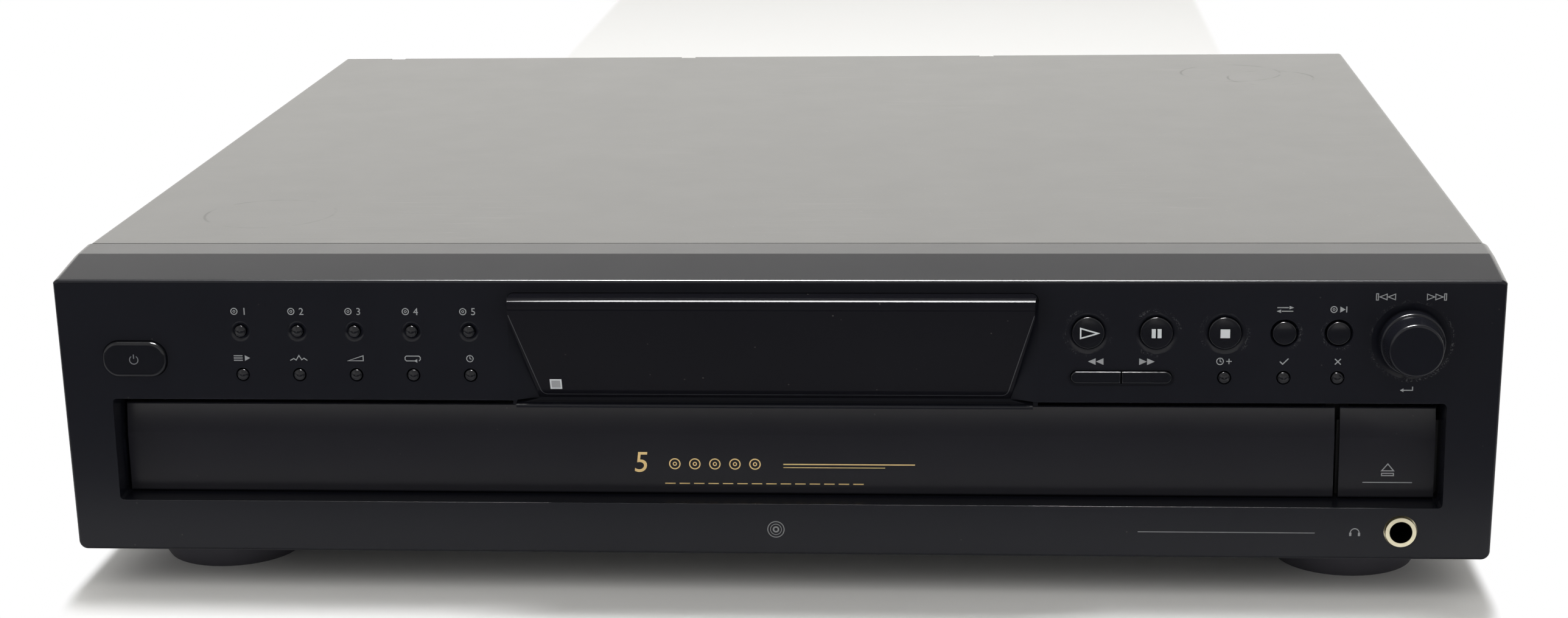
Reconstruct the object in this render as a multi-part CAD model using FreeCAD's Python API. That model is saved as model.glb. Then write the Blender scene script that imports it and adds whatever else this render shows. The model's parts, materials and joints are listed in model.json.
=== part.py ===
import FreeCAD, Part

import math
import os

# Multi disc CD changer. Millimetres, +Z up, +X to the right of someone facing it.
# Heights are above the surface it stands on. Depths run back from the flat of the front face.

# ---- Driving dimensions: case ----
panel_width = 430.0
panel_base_taper = 1.5
panel_ledge_taper = 0.6
foot_height = 12.0
face_height = 85.3
slope_depth = 20.5
slope_rise = 3.3
ledge_depth = 11.0
ledge_rise = 0.6
panel_wall = 2.5
corner_radius = 2.7
edge_radius = 1.0
shoulder_radius = 2.2
opening_chamfer = 0.2
cover_inset = 1.4
pivot_to_back = 10.0
cover_sheet = 1.0
cover_bend = 1.6
notch_margin = 23.6
notch_offset = 63.8
seam_gap = 0.6
base_sheet = 1.0
base_flange_height = 14.0
rear_sheet = 1.2
foot_radius = 24.0
foot_tread_radius = 21.0
foot_inset = 39.5
foot_front_depth = 40.0
foot_rear_inset = 46.0
fit_gap = 0.3
tiny = 1e-6
slide_gap = 0.2
running_gap = 0.05

# ---- Driving dimensions: tray opening and display bay ----
opening_left_margin = 15.7
opening_right_margin = 16.0
opening_sill = 16.1
opening_height = 32.1
opening_corner = 1.2
tunnel_depth = 14.0
tunnel_wall = 2.2
door_setback = 8.6
door_thickness = 2.5
door_flat_height = 18.8
door_height = 27.9
door_lean = 1.6
door_edge_radius = 0.7
door_side_gap = 1.1
open_button_width = 30.3
door_split_gap = 1.6
bay_left_margin = 137.6
bay_right_margin = 135.0
bay_height = 33.4
bay_depth = 4.2
bay_flare = 8.1
bay_rail_drop = 2.3
bay_rail_thickness = 4.0
bay_lip_height = 0.9
bay_lip_reach = 3.6
bay_lip_step = 0.3
bay_lip_inset = 1.5
bay_lip_radius = 0.7
window_thickness = 2.0
window_brow_height = 2.6
window_brow_shelf = 3.6
window_brow_drop = 0.5
window_brow_radius = 3.4
window_end_taper = 1.2
window_corner = 2.4
window_gap = 0.1
aperture_margin = 11.0

# ---- Driving dimensions: controls ----
upper_row_height = 69.55
lower_row_height = 56.05
disc_button_margin = 56.5
disc_button_pitch = 17.33
disc_button_count = 5
small_cap_radius = 1.75
mode_cap_radius = 1.7
small_dish_radius = 3.3
transport_margin = 120.5
transport_pitch = 19.9
transport_cap_radius = 4.75
transport_dish_radius = 6.4
swap_margin = 63.5
skip_margin = 47.9
round_cap_radius = 3.45
round_dish_radius = 4.2
dish_depth = 0.8
cap_gap = 0.2
flange_width = 1.6
flange_thickness = 1.0
key_span_margin = 125.5
key_span = 29.55
key_height = 3.6
key_rim_width = 0.8
key_rim_depth = 0.3
key_split = 0.3
power_margin = 23.7
power_height = 60.9
power_cap_width = 19.5
power_cap_height = 11.0
power_cap_radius = 5.0
power_proud = 1.5
power_travel = 3.0
small_proud = 0.9
small_dome = 0.6
large_proud = 0.7
large_dome = 0.35
cap_edge_radius = 0.35
key_proud = 0.6
key_edge_radius = 0.4
button_travel = 1.0
stem_radius = 1.2
knob_margin = 27.0
knob_height = 67.3
knob_base_radius = 9.4
knob_cap_radius = 7.8
knob_proud = 11.5
jack_proud = 8.5
knob_skirt_proud = 4.8
knob_rim_radius = 0.9
knob_skirt_radius = 0.7
knob_dish_radius = 11.5
knob_dish_depth = 1.5
encoder_shaft_radius = 3.0
encoder_travel = 0.6
encoder_size = 12.0
phones_margin = 27.9
phones_height = 8.8
phones_bore_radius = 3.25
phones_ring_radius = 4.5
phones_hole_radius = 4.95
phones_body_depth = 20.0
board_depth = 13.0
board_thickness = 1.6
switch_size = 6.0
switch_height = 4.0
plunger_height = 0.8

# ---- Driving dimensions: tray and carousel ----
tray_left_margin = 10.3
tray_right_margin = 9.7
tray_floor_height = 25.0
tray_floor_thickness = 2.5
tray_wall = 2.5
tray_wall_top = 41.0
tray_rear_space = 4.5
tray_travel = 235.0
tray_flange_width = 6.0
tray_flange_height = 32.0
tray_flange_thickness = 2.5
tray_cut_half_width = 52.0
tray_cut_reach = 41.4
carousel_front_space = 5.9
carousel_side_space = 6.0
carousel_bottom = 34.0
carousel_thickness = 6.0
well_rim = 3.4
well_radius = 60.6
well_floor = 2.0
small_well_radius = 40.5
small_well_step = 0.7
slot_half_width = 26.0
deck_skin = 2.0
well_count = 5
hub_radius = 7.5
hub_cap_radius = 13.0
hub_cap_thickness = 1.8
thrust_inner_radius = 9.5
thrust_outer_radius = 14.0

# ---- Driving dimensions: gears and drives ----
gear_module = 1.0
pressure_angle = 25.0
addendum = 0.8
dedendum = 1.05
tooth_thinning = 0.16
ring_gear_teeth = 80
ring_gear_height = 4.5
ring_gear_bore = 32.0
table_pinion_teeth = 16
table_pinion_angle = -60.0
rack_inset = 37.0
rack_height = 6.0
rack_bar = 4.0
rack_pinion_teeth = 18
reduction_gear_teeth = 36
pulley_pinion_teeth = 14
loading_gear_depth = 45.0
pulley_angle = 60.0
pulley_radius = 14.0
motor_pulley_radius = 4.0
pulley_groove = 1.0
pulley_height = 3.2
motor_pulley_distance = 50.0
belt_thickness = 1.2
belt_height = 1.6
gear_post_radius = 2.5
loading_motor_radius = 12.0
table_motor_radius = 11.0

# ---- Driving dimensions: disc drive ----
pivot_reach = 87.0
pivot_height = 25.0
lift_angle = 9.5
lift_travel = 36.0
unit_half_width = 48.0
unit_plate = 2.5
unit_front_reach = 27.0
pin_radius = 2.0
pivot_pin_radius = 2.5
platter_radius = 15.5
platter_under_bridge = 5.5
platter_thickness = 2.5
spindle_cone_radius = 7.3
spindle_cone_height = 2.4
spindle_motor_radius = 12.5
platter_over_motor = 3.5
rod_radius = 1.5
rod_spread = 18.0
rod_height = 32.5
sled_half_width = 16.0
sled_length = 15.0
lens_radius = 3.5
lens_rest = 30.0
sled_track_reach = 74.0
slider_spare_length = 24.0
bridge_height = 50.0
bridge_overhang = 8.2
bridge_half_length = 27.0
bridge_lip_height = 8.0
bridge_sheet = 1.2
clamp_radius = 17.0
clamp_neck_radius = 9.0
clamp_flange_radius = 12.0
clamp_lift = 1.7
clamp_pad_height = 2.2
clamp_flange_height = 2.0
clamp_recess_gap = 0.4

# ---- Driving dimensions: fasteners and electrics ----
screw_radius = 1.5
screw_head_radius = 3.5
screw_head_height = 1.2
screw_length = 6.0
screw_inset = 40.0
jack_radius = 4.15
jack_spacing = 18.0
jack_collar = 0.5
jack_collar_radius = 6.0
jack_bore_radius = 1.7
jack_bore_length = 10.5
jack_margin = 103.0
jack_height = 18.0
socket_block_depth = 12.0
optical_size = 9.6
optical_proud = 1.5
gland_margin = 25.0
gland_height = 22.0
gland_neck_radius = 6.0
gland_bore_radius = 3.4
gland_length = 6.0
gland_rim = 2.5
main_board_z = 7.0
main_board_space = 11.0
main_board_margin = 19.0
main_board_front = 90.0
main_board_rear_gap = 14.0
standoff_radius = 3.0
standoff_inset = 6.0
capacitor_radius = 5.0
capacitor_height = 12.0
capacitor_pitch = 15.0
chip_size = 20.0
chip_height = 2.6
chip_pitch = 32.0
transformer_margin = 38.0
transformer_width = 31.0
transformer_front = 268.0
transformer_length = 58.0
transformer_height = 48.0
vent_pitch = 7.0
vent_width = 3.0
vent_length = 40.0
vent_count = 12
rear_vent_pitch = 9.0
rear_vent_columns = 14
rear_vent_rows = 3

# ---- Values worked out from the driving dimensions ----
half_width = panel_width / 2
panel_base_width = panel_width - 2 * panel_base_taper
panel_ledge_width = panel_width - 2 * panel_ledge_taper
cover_width = panel_width - 2 * cover_inset
opening_left = opening_left_margin - half_width
opening_right = half_width - opening_right_margin
door_split = opening_right - open_button_width
bay_left = bay_left_margin - half_width
bay_right = half_width - bay_right_margin
disc_button_left = disc_button_margin - half_width
transport_left = half_width - transport_margin
swap_x = half_width - swap_margin
skip_x = half_width - skip_margin
key_span_left = half_width - key_span_margin
key_span_right = key_span_left + key_span
power_x = power_margin - half_width
knob_x = half_width - knob_margin
phones_x = half_width - phones_margin
tray_left = opening_left + tray_left_margin
tray_right = door_split - tray_right_margin
tray_x = (tray_left + tray_right) / 2
tray_half_width = (tray_right - tray_left) / 2
tray_front = door_setback + door_thickness
carousel_radius = tray_half_width - carousel_side_space
carousel_depth = tray_front + carousel_front_space + carousel_radius
well_circle_radius = carousel_radius - well_radius - well_rim
tray_rear = carousel_depth + carousel_radius + tray_rear_space
rack_pitch_x = tray_left + rack_inset
rack_teeth = math.ceil(tray_travel / (math.pi * gear_module)) + 3
jack_left = half_width - jack_margin
gland_x = half_width - gland_margin
transformer_left = half_width - transformer_margin
main_board_right = transformer_left - main_board_margin
main_board_left = tray_x + unit_half_width + main_board_space
drive_bore_depth = carousel_depth + well_circle_radius
pivot_depth = drive_bore_depth + pivot_reach
unit_front_depth = drive_bore_depth - unit_front_reach
case_depth = pivot_depth + pivot_to_back
overall_depth = knob_proud + case_depth + jack_proud
face_y = knob_proud - overall_depth / 2
panel_z0 = foot_height
face_top = panel_z0 + face_height
crease_z = face_top + slope_rise
panel_depth = slope_depth + ledge_depth
ledge_z = crease_z + ledge_rise
cover_top = ledge_z
cover_under = cover_top - cover_sheet
base_top = panel_z0 + base_sheet
opening_z0 = panel_z0 + opening_sill
opening_z1 = opening_z0 + opening_height
door_z0 = opening_z0 + fit_gap
door_bend_z = door_z0 + door_flat_height
door_z1 = door_z0 + door_height
bay_z1 = opening_z1 + bay_height
window_z1 = bay_z1 - window_gap
window_bend_z = bay_z1 - window_brow_height
window_z0 = opening_z1 + window_gap
brow_proud = window_brow_shelf + window_brow_radius
upper_z = panel_z0 + upper_row_height
lower_z = panel_z0 + lower_row_height
power_z = panel_z0 + power_height
knob_z = panel_z0 + knob_height
phones_z = panel_z0 + phones_height
flange_front = panel_wall + fit_gap
flange_back = flange_front + flange_thickness
plunger_front = board_depth - switch_height - plunger_height
stem_end = plunger_front - button_travel - fit_gap / 2
tray_z0 = panel_z0 + tray_floor_height
tray_floor_top = tray_z0 + tray_floor_thickness
flange_z0 = panel_z0 + tray_flange_height
flange_z1 = flange_z0 + tray_flange_thickness
carousel_z0 = panel_z0 + carousel_bottom
carousel_z1 = carousel_z0 + carousel_thickness
well_z = carousel_z0 + well_floor
unit_z = panel_z0 + pivot_height
guide_top = panel_z0 + bridge_height
platter_top = bridge_height - platter_under_bridge
unit_lift = math.radians(lift_angle)


# ---- Small building blocks ----
def at(x, depth, z):
    """A point given by its place across, its depth behind the face and its height."""
    return FreeCAD.Vector(x, face_y + depth, z)


def block(x0, x1, d0, d1, z0, z1):
    return Part.makeBox(x1 - x0, d1 - d0, z1 - z0, at(x0, d0, z0))


def post(x, depth, z0, z1, radius):
    """A cylinder standing along Z."""
    return Part.makeCylinder(radius, z1 - z0, at(x, depth, z0))


def peg(x, z, d0, d1, radius):
    """A cylinder lying along the depth."""
    return Part.makeCylinder(radius, d1 - d0, at(x, d0, z), FreeCAD.Vector(0, 1, 0))


def axle(depth, z, x0, x1, radius):
    """A cylinder lying across."""
    return Part.makeCylinder(radius, x1 - x0, at(x0, depth, z), FreeCAD.Vector(1, 0, 0))


def peg_cone(x, z, d0, d1, r0, r1):
    return Part.makeCone(r0, r1, d1 - d0, at(x, d0, z), FreeCAD.Vector(0, 1, 0))


def swept(corners, along):
    """The closed outline through the corners, swept along a vector."""
    face = Part.Face(Part.makePolygon(corners + corners[:1]))
    return face.extrude(along)


def prism_x(points, x0, x1):
    """An outline of depth and height, swept across."""
    return swept([at(x0, d, z) for d, z in points], FreeCAD.Vector(x1 - x0, 0, 0))


def prism_y(points, d0, d1):
    """An outline of across and height, swept back."""
    return swept([at(x, d0, z) for x, z in points], FreeCAD.Vector(0, d1 - d0, 0))


def prism_z(points, z0, z1):
    """An outline of across and depth, swept up."""
    return swept([at(x, d, z0) for x, d in points], FreeCAD.Vector(0, 0, z1 - z0))


def along_axis(shape, index):
    """The straight edges of a shape that run along one axis."""
    found = []
    for edge in shape.Edges:
        if len(edge.Vertexes) == 2:
            run = edge.Vertexes[1].Point - edge.Vertexes[0].Point
            if abs(abs(run[index]) - run.Length) < tiny:
                found.append(edge)
    return found


def cross_edges(solid, places):
    """The edges that run across a solid at the given depths and heights."""
    found = []
    for edge in along_axis(solid, 0):
        end = edge.Vertexes[0].Point
        if any((at(end.x, d, z) - end).Length < tiny for d, z in places):
            found.append(edge)
    return found


def rounded_block(x0, x1, d0, d1, z0, z1, radius, index=1):
    """A block whose edges along one axis are rounded."""
    solid = block(x0, x1, d0, d1, z0, z1)
    return solid.makeFillet(radius, along_axis(solid, index))


def joined(parts):
    """Several solids made one."""
    return parts[0].fuse(list(parts[1:])).removeSplitter()


def group(parts):
    return Part.makeCompound(parts)


def less(solid, parts):
    return solid.cut(list(parts))


# ---- Gears ----
def gear_points(teeth, phase):
    """Outline of a spur gear about its axis. Each flank is two chords of an involute."""
    angle = math.radians(pressure_angle)
    pitch = gear_module * teeth / 2
    base = pitch * math.cos(angle)
    radii = [pitch - dedendum * gear_module, pitch, pitch + addendum * gear_module]
    half = math.pi / (2 * teeth) - tooth_thinning / (2 * pitch)
    spread = half + math.tan(angle) - angle
    flank = []
    for radius in radii:
        roll = math.acos(min(1.0, base / radius))
        flank.append((radius, spread - (math.tan(roll) - roll)))
    points = []
    for tooth in range(teeth):
        centre = phase + 2 * math.pi * tooth / teeth
        points += [(r, centre - a) for r, a in flank]
        points += [(r, centre + a) for r, a in reversed(flank)]
    return [(r * math.cos(a), r * math.sin(a)) for r, a in points]


def gear(x, depth, z0, z1, teeth, phase):
    return prism_z([(x + u, depth + v) for u, v in gear_points(teeth, phase)], z0, z1)


def pitch_radius(teeth):
    return gear_module * teeth / 2


# ---- Case ----
def panel_outline(inset=0.0):
    """Front view of the panel: a little narrower at its base and at its ledge."""
    base, top, ledge = panel_base_width / 2, panel_width / 2, panel_ledge_width / 2
    low = panel_z0 + inset
    high = ledge_z + 1.0
    rise = ledge_z - face_top
    over = ledge + (ledge - top) / rise
    right = [(base - inset, low), (top - inset, face_top), (over - inset, high)]
    return right + [(-x, z) for x, z in reversed(right)]


def panel_profile():
    return [(0, panel_z0), (0, face_top), (slope_depth, crease_z), (panel_depth, ledge_z),
            (panel_depth, panel_z0)]


def panel_core_profile():
    rear = panel_depth + 1.0
    low = panel_z0 + panel_wall
    return [(panel_wall, low), (panel_wall, face_top - panel_wall), (slope_depth, crease_z - panel_wall),
            (rear, ledge_z - panel_wall), (rear, low)]


def shoulder_edges(skin):
    """The edges where the sides meet the slope and the ledge."""
    inner = panel_ledge_width / 2 - 1.0
    found = []
    for edge in skin.Edges:
        ends = [v.Point for v in edge.Vertexes]
        rising = abs(ends[0].y - ends[1].y) > 1.0 and abs(ends[0].z - ends[1].z) > 0.1
        if rising and all(abs(p.x) > inner and p.z > face_top - tiny for p in ends):
            found.append(edge)
    return found


def panel_shell():
    """The moulding's outer skin, rounded where it meets the face, and open at the back."""
    front = prism_y(panel_outline(), 0, panel_depth)
    low_corners = [e for e in along_axis(front, 1) if e.Vertexes[0].Z < panel_z0 + 1.0]
    front = front.makeFillet(corner_radius, low_corners)
    skin = front.common(prism_x(panel_profile(), -panel_width, panel_width))
    skin = skin.makeFillet(shoulder_radius, shoulder_edges(skin))
    rim = [e for e in skin.Edges if all(abs(v.Y - face_y) < tiny for v in e.Vertexes)]
    skin = skin.makeFillet(edge_radius, rim)
    core = prism_y(panel_outline(panel_wall), 0, panel_depth + 1.0)
    return less(skin, [core.common(prism_x(panel_core_profile(), -panel_width, panel_width))])


def tray_tunnel():
    """The walled mouth of the tray opening."""
    wall = tunnel_wall
    outer = block(opening_left - wall, opening_right + wall, panel_wall / 2, tunnel_depth,
                  opening_z0 - wall, opening_z1 + wall)
    return outer


def tray_mouth():
    return rounded_block(opening_left, opening_right, -1.0, tunnel_depth + 1.0, opening_z0, opening_z1,
                         opening_corner)


def pane_depth(z):
    """Depth of the window's front surface at a height: it leans back towards its foot."""
    return bay_depth * (window_bend_z - z) / (window_bend_z - opening_z1)


def pane_block(gap, d0, d1):
    """The window's front outline swept back: its sides close in downwards, its upper corners are round."""
    foot = bay_flare - gap
    top = bay_z1 + gap + slide_gap / 4
    outline = [(bay_left + foot, opening_z1), (bay_left - gap, window_bend_z), (bay_left - gap, top),
               (bay_right + gap, top), (bay_right + gap, window_bend_z), (bay_right - foot, opening_z1)]
    solid = prism_y(outline, d0, d1)
    corners = [e for e in along_axis(solid, 1) if abs(e.Vertexes[0].Z - top) < tiny]
    return solid.makeFillet(window_corner + gap, corners)


def bay_space():
    """The hollow in front of the pane, with upright flanks that splay outwards."""
    plan = [(bay_left, -0.01), (bay_right, -0.01), (bay_right - bay_flare, bay_depth),
            (bay_left + bay_flare, bay_depth)]
    wedge = prism_z(plan, opening_z1 - 1.0, window_bend_z)
    back = [(-1.0, window_bend_z), (0, window_bend_z), (bay_depth, opening_z1), (bay_depth, opening_z1 - 1.0),
            (-1.0, opening_z1 - 1.0)]
    return wedge.common(prism_x(back, -panel_width, panel_width))


def bay_rail():
    """The strip that hangs below the window, in front of the door's top edge, with a sloping lip."""
    under, top = opening_z1 - bay_rail_drop, opening_z1 - bay_lip_step
    strip = block(bay_left, bay_right, bay_depth, bay_depth + bay_rail_thickness, under,
                  opening_z1 + tunnel_wall / 2)
    nose = (bay_depth - bay_lip_reach, under + bay_lip_height)
    lip = prism_x([(nose[0], under), nose, (bay_depth, top), (bay_depth + 1.0, top), (bay_depth + 1.0, under)],
                  bay_left + bay_lip_inset, bay_right - bay_lip_inset)
    return joined([strip, lip.makeFillet(bay_lip_radius, cross_edges(lip, [nose]))])


def window_pocket():
    """The seat that the window drops into."""
    back = window_thickness + window_gap
    profile = [(-1.0, bay_z1), (back, bay_z1), (back, window_bend_z), (bay_depth + back, opening_z1),
               (bay_depth, opening_z1), (0, window_bend_z), (-1.0, window_bend_z)]
    return prism_x(profile, -panel_width, panel_width).common(pane_block(0, -2.0, board_depth))


def display_aperture():
    return block(bay_left + aperture_margin, bay_right - aperture_margin, 0, board_depth,
                 opening_z1 + aperture_margin / 2, window_bend_z - aperture_margin / 4)


def round_button_cut(x, z, cap_radius, dish_radius):
    """A dished ring round a button's hole."""
    hole = cap_radius + cap_gap
    dish = peg_cone(x, z, -0.01, dish_depth, dish_radius, hole)
    return [dish, peg(x, z, 0, panel_wall + 1.0, hole)]


def round_buttons():
    """Name, place, cap radius and dish radius of each round button."""
    rows = []
    for n in range(disc_button_count):
        x = disc_button_left + n * disc_button_pitch
        rows.append((f"disc_button_{n + 1}", x, upper_z, small_cap_radius, small_dish_radius))
        rows.append((f"mode_button_{n + 1}", x, lower_z, mode_cap_radius, mode_cap_radius + cap_gap * 2))
    for n, name in enumerate(["play_button", "pause_button", "stop_button"]):
        x = transport_left + n * transport_pitch
        rows.append((name, x, upper_z, transport_cap_radius, transport_dish_radius))
    rows.append(("disc_swap_button", swap_x, upper_z, round_cap_radius, round_dish_radius))
    rows.append(("disc_skip_button", skip_x, upper_z, round_cap_radius, round_dish_radius))
    stop_x = transport_left + 2 * transport_pitch
    for name, x in [("edit_button", stop_x), ("check_button", swap_x), ("clear_button", skip_x)]:
        rows.append((name, x, lower_z, mode_cap_radius, mode_cap_radius + cap_gap * 2))
    return rows


def key_slot():
    """The keys' slot and the shallow rim that it is sunk in."""
    cuts = []
    for grow, depth in [(cap_gap, panel_wall + 1.0), (key_rim_width, key_rim_depth)]:
        half = key_height / 2 + grow
        cuts.append(rounded_block(key_span_left - grow, key_span_right + grow, -1.0, depth, lower_z - half,
                                  lower_z + half, half * 0.98))
    return joined(cuts)


def power_hole():
    half_w = power_cap_width / 2 + cap_gap
    half_h = power_cap_height / 2 + cap_gap
    return rounded_block(power_x - half_w, power_x + half_w, -1.0, panel_wall + 1.0, power_z - half_h,
                         power_z + half_h, power_cap_radius + cap_gap)


def board_boss_places():
    """Where the panel's bosses carry the control board."""
    edge = panel_width / 2 - aperture_margin - panel_wall
    low, high = opening_z1 + 2 * tunnel_wall + 1.5, bay_z1 - panel_wall - 1.5
    inner = (power_x + disc_button_left) / 2
    right = (skip_x + knob_x) / 2 - 1.0
    return [(-edge, high), (inner, low), (inner, high), (bay_right + 5.5, high), (right, low), (edge, low),
            (edge, high)]


def mouth_edges(body):
    """The front edges of the tray opening."""
    middle = (opening_z0 + opening_z1) / 2
    reach = (opening_right - opening_left) / 2 + 1.0
    found = []
    for edge in body.Edges:
        box = edge.BoundBox
        flat = abs(box.YMin - face_y) < tiny and abs(box.YMax - face_y) < tiny
        near = abs(box.Center.z - middle) < opening_height / 2 + 1e-3 and abs(box.Center.x) < reach
        if flat and near:
            found.append(edge)
    return found


def front_panel():
    rail = block(bay_left - panel_wall, bay_right + panel_wall, panel_wall / 2, pane_backing(),
                 opening_z1, bay_z1 + panel_wall)
    lip = block(-cover_width / 2 + 2 * panel_wall, cover_width / 2 - 2 * panel_wall, panel_depth - panel_wall,
                panel_depth + 3 * panel_wall, ledge_z - panel_wall - 0.5, cover_under - slide_gap)
    bosses = [peg(x, z, panel_wall / 2, board_depth, panel_wall) for x, z in board_boss_places()]
    knob_boss = peg(knob_x, knob_z, panel_wall / 2, panel_wall + knob_dish_depth,
                    knob_dish_radius + panel_wall)
    body = less(joined([panel_shell(), tray_tunnel(), rail, lip, knob_boss] + bosses), [tray_mouth()])
    body = joined([body.makeChamfer(opening_chamfer, mouth_edges(body)), bay_rail()])
    cuts = [bay_space(), window_pocket(), display_aperture(), key_slot(), power_hole()]
    for _, x, z, cap, dish in round_buttons():
        cuts += round_button_cut(x, z, cap, dish)
    cuts.append(peg_cone(knob_x, knob_z, -0.01, knob_dish_depth, knob_dish_radius, knob_base_radius))
    cuts.append(peg(knob_x, knob_z, 0, 2 * panel_wall, encoder_shaft_radius + 2 * cap_gap))
    cuts.append(peg(phones_x, phones_z, -1.0, panel_wall + 1.0, phones_hole_radius))
    return less(body, cuts)


def pane_backing():
    """Depth of the frame that the window's foot rests against."""
    return bay_depth + window_thickness + panel_wall * 0.6


def brow_points():
    """Depths and heights along the brow: its shelf's end, the middle of its nose, and the nose's foot."""
    shelf = (-window_brow_shelf, window_z1 - window_brow_drop)
    lean = math.atan2(window_brow_drop, window_brow_shelf)
    centre = (shelf[0] + window_brow_radius * math.sin(lean), shelf[1] - window_brow_radius * math.cos(lean))
    middle, foot = [(centre[0] - window_brow_radius * math.cos(turn), centre[1] + window_brow_radius * math.sin(turn))
                    for turn in ((math.pi / 2 - lean) / 2, 0)]
    return shelf, middle, foot


def brow_ends():
    """Wedges beyond the brow's ends, which taper towards its nose."""
    reach = 2 * brow_proud
    drift = window_end_taper * reach / brow_proud
    left, right = bay_left + window_gap, bay_right - window_gap
    return [prism_z([(x, 0), (x + way * drift, -reach), (x - way * drift, -reach), (x - way * drift, 0)],
                    window_z0 - 1.0, window_z1 + 1.0) for way, x in ((1, left), (-1, right))]


def display_window():
    """Glossy pane that leans back under a brow with a round nose."""
    shelf, middle, nose = [at(bay_left, *place) for place in brow_points()]
    back, foot = window_thickness, pane_depth(window_z0)
    walk = [nose, at(bay_left, foot, window_z0), at(bay_left, foot + back, window_z0),
            at(bay_left, back, window_bend_z), at(bay_left, back, window_z1), at(bay_left, 0, window_z1), shelf]
    edges = [Part.LineSegment(a, b).toShape() for a, b in zip(walk, walk[1:])]
    edges.append(Part.Arc(shelf, middle, nose).toShape())
    section = Part.Face(Part.Wire(edges))
    section.translate(FreeCAD.Vector(-1.0, 0, 0))
    slab = section.extrude(FreeCAD.Vector(bay_right - bay_left + 2.0, 0, 0))
    return less(slab.common(pane_block(-window_gap, -2 * brow_proud, board_depth)), brow_ends())


def top_cover():
    """Steel sheet folded into a wrap that covers the top and both sides."""
    half = cover_width / 2
    front = panel_depth + seam_gap
    outer = block(-half, half, front, case_depth, base_top + fit_gap, cover_top)
    top_edges = [e for e in along_axis(outer, 1) if e.Vertexes[0].Z > cover_under]
    outer = outer.makeFillet(cover_bend, top_edges)
    inner = block(-half + cover_sheet, half - cover_sheet, front - 1.0, case_depth + 1.0, panel_z0,
                  cover_under)
    inner_edges = [e for e in along_axis(inner, 1) if e.Vertexes[0].Z > cover_under - 1.0]
    inner = inner.makeFillet(cover_bend - cover_sheet, inner_edges)
    notches = [block(x - 3.0, x + 3.0, case_depth - 2.0, case_depth + 1.0, cover_under - 0.5, cover_top + 1.0)
               for x in cover_notches()]
    holes = [axle(depth, case_screw_z(), -half - 1.0, half + 1.0, screw_radius + slide_gap)
             for depth in case_screw_depths()]
    return less(outer, [inner] + notches + holes)


def cover_notches():
    half = cover_width / 2
    return [notch_margin - half, -notch_offset, notch_offset]


def case_screw_depths():
    return [panel_depth + screw_inset, case_depth - screw_inset]


def case_screw_z():
    return base_top + base_flange_height * 0.6


def base_half_width():
    return cover_width / 2 - cover_sheet - fit_gap


def base_front():
    return panel_depth + seam_gap


def chassis_base():
    """Sheet floor with turned-up sides, tongues for the panel, ears for the disc drive and slider rails."""
    half = base_half_width()
    rear = case_depth - rear_sheet
    parts = [block(-half, half, base_front(), rear, panel_z0, base_top)]
    for side in (-1, 1):
        x0, x1 = sorted([side * half, side * (half - base_sheet)])
        parts.append(block(x0, x1, base_front(), rear, panel_z0, base_top + base_flange_height))
    tongue_z = panel_z0 + panel_wall
    for x in (-half * 0.7, -half * 0.25, half * 0.25, half * 0.7):
        parts.append(block(x - 12.0, x + 12.0, base_front(), base_front() + base_sheet, panel_z0,
                           tongue_z + base_sheet))
        parts.append(block(x - 12.0, x + 12.0, panel_depth - 8.0, base_front() + base_sheet, tongue_z,
                           tongue_z + base_sheet))
    for side in (-1, 1):
        parts.append(pivot_ear(side))
    rail_end = slider_left() + slider_length() + lift_travel + 3.0
    parts += [block(slider_left() - 3.0, rail_end, d0, d1, panel_z0, base_top + 2.5)
              for d0, d1 in slider_rails()]
    body = joined(parts)
    holes = [axle(depth, case_screw_z(), -half - 1.0, half + 1.0, screw_radius + slide_gap)
             for depth in case_screw_depths()]
    for side in (-1, 1):
        x = tray_x + side * (unit_half_width + 3.5)
        holes.append(axle(pivot_depth, unit_z, x - 3.0, x + 3.0, pivot_pin_radius + running_gap))
    for x, depth in foot_places():
        holes.append(post(x, depth, panel_z0 - 1.0, base_top + 1.0, screw_radius + slide_gap))
    holes += base_vents()
    return less(body, holes)


def base_vents():
    """Rows of cooling slots in the floor under the boards."""
    slots = []
    left = (main_board_left + main_board_right - vent_count * vent_pitch) / 2
    front = (main_board_front + pivot_depth - vent_length) / 2
    for n in range(vent_count):
        x = left + n * vent_pitch
        slots.append(block(x, x + vent_width, front, front + vent_length, panel_z0 - 1.0, base_top + 1.0))
    return slots


def pivot_ear(side):
    """An upright ear that holds one pivot pin of the disc drive."""
    x0, x1 = sorted([tray_x + side * (unit_half_width + 2.5), tray_x + side * (unit_half_width + 4.5)])
    return block(x0, x1, pivot_depth - 6.0, pivot_depth + 6.0, panel_z0, unit_z + 6.0)


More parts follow.
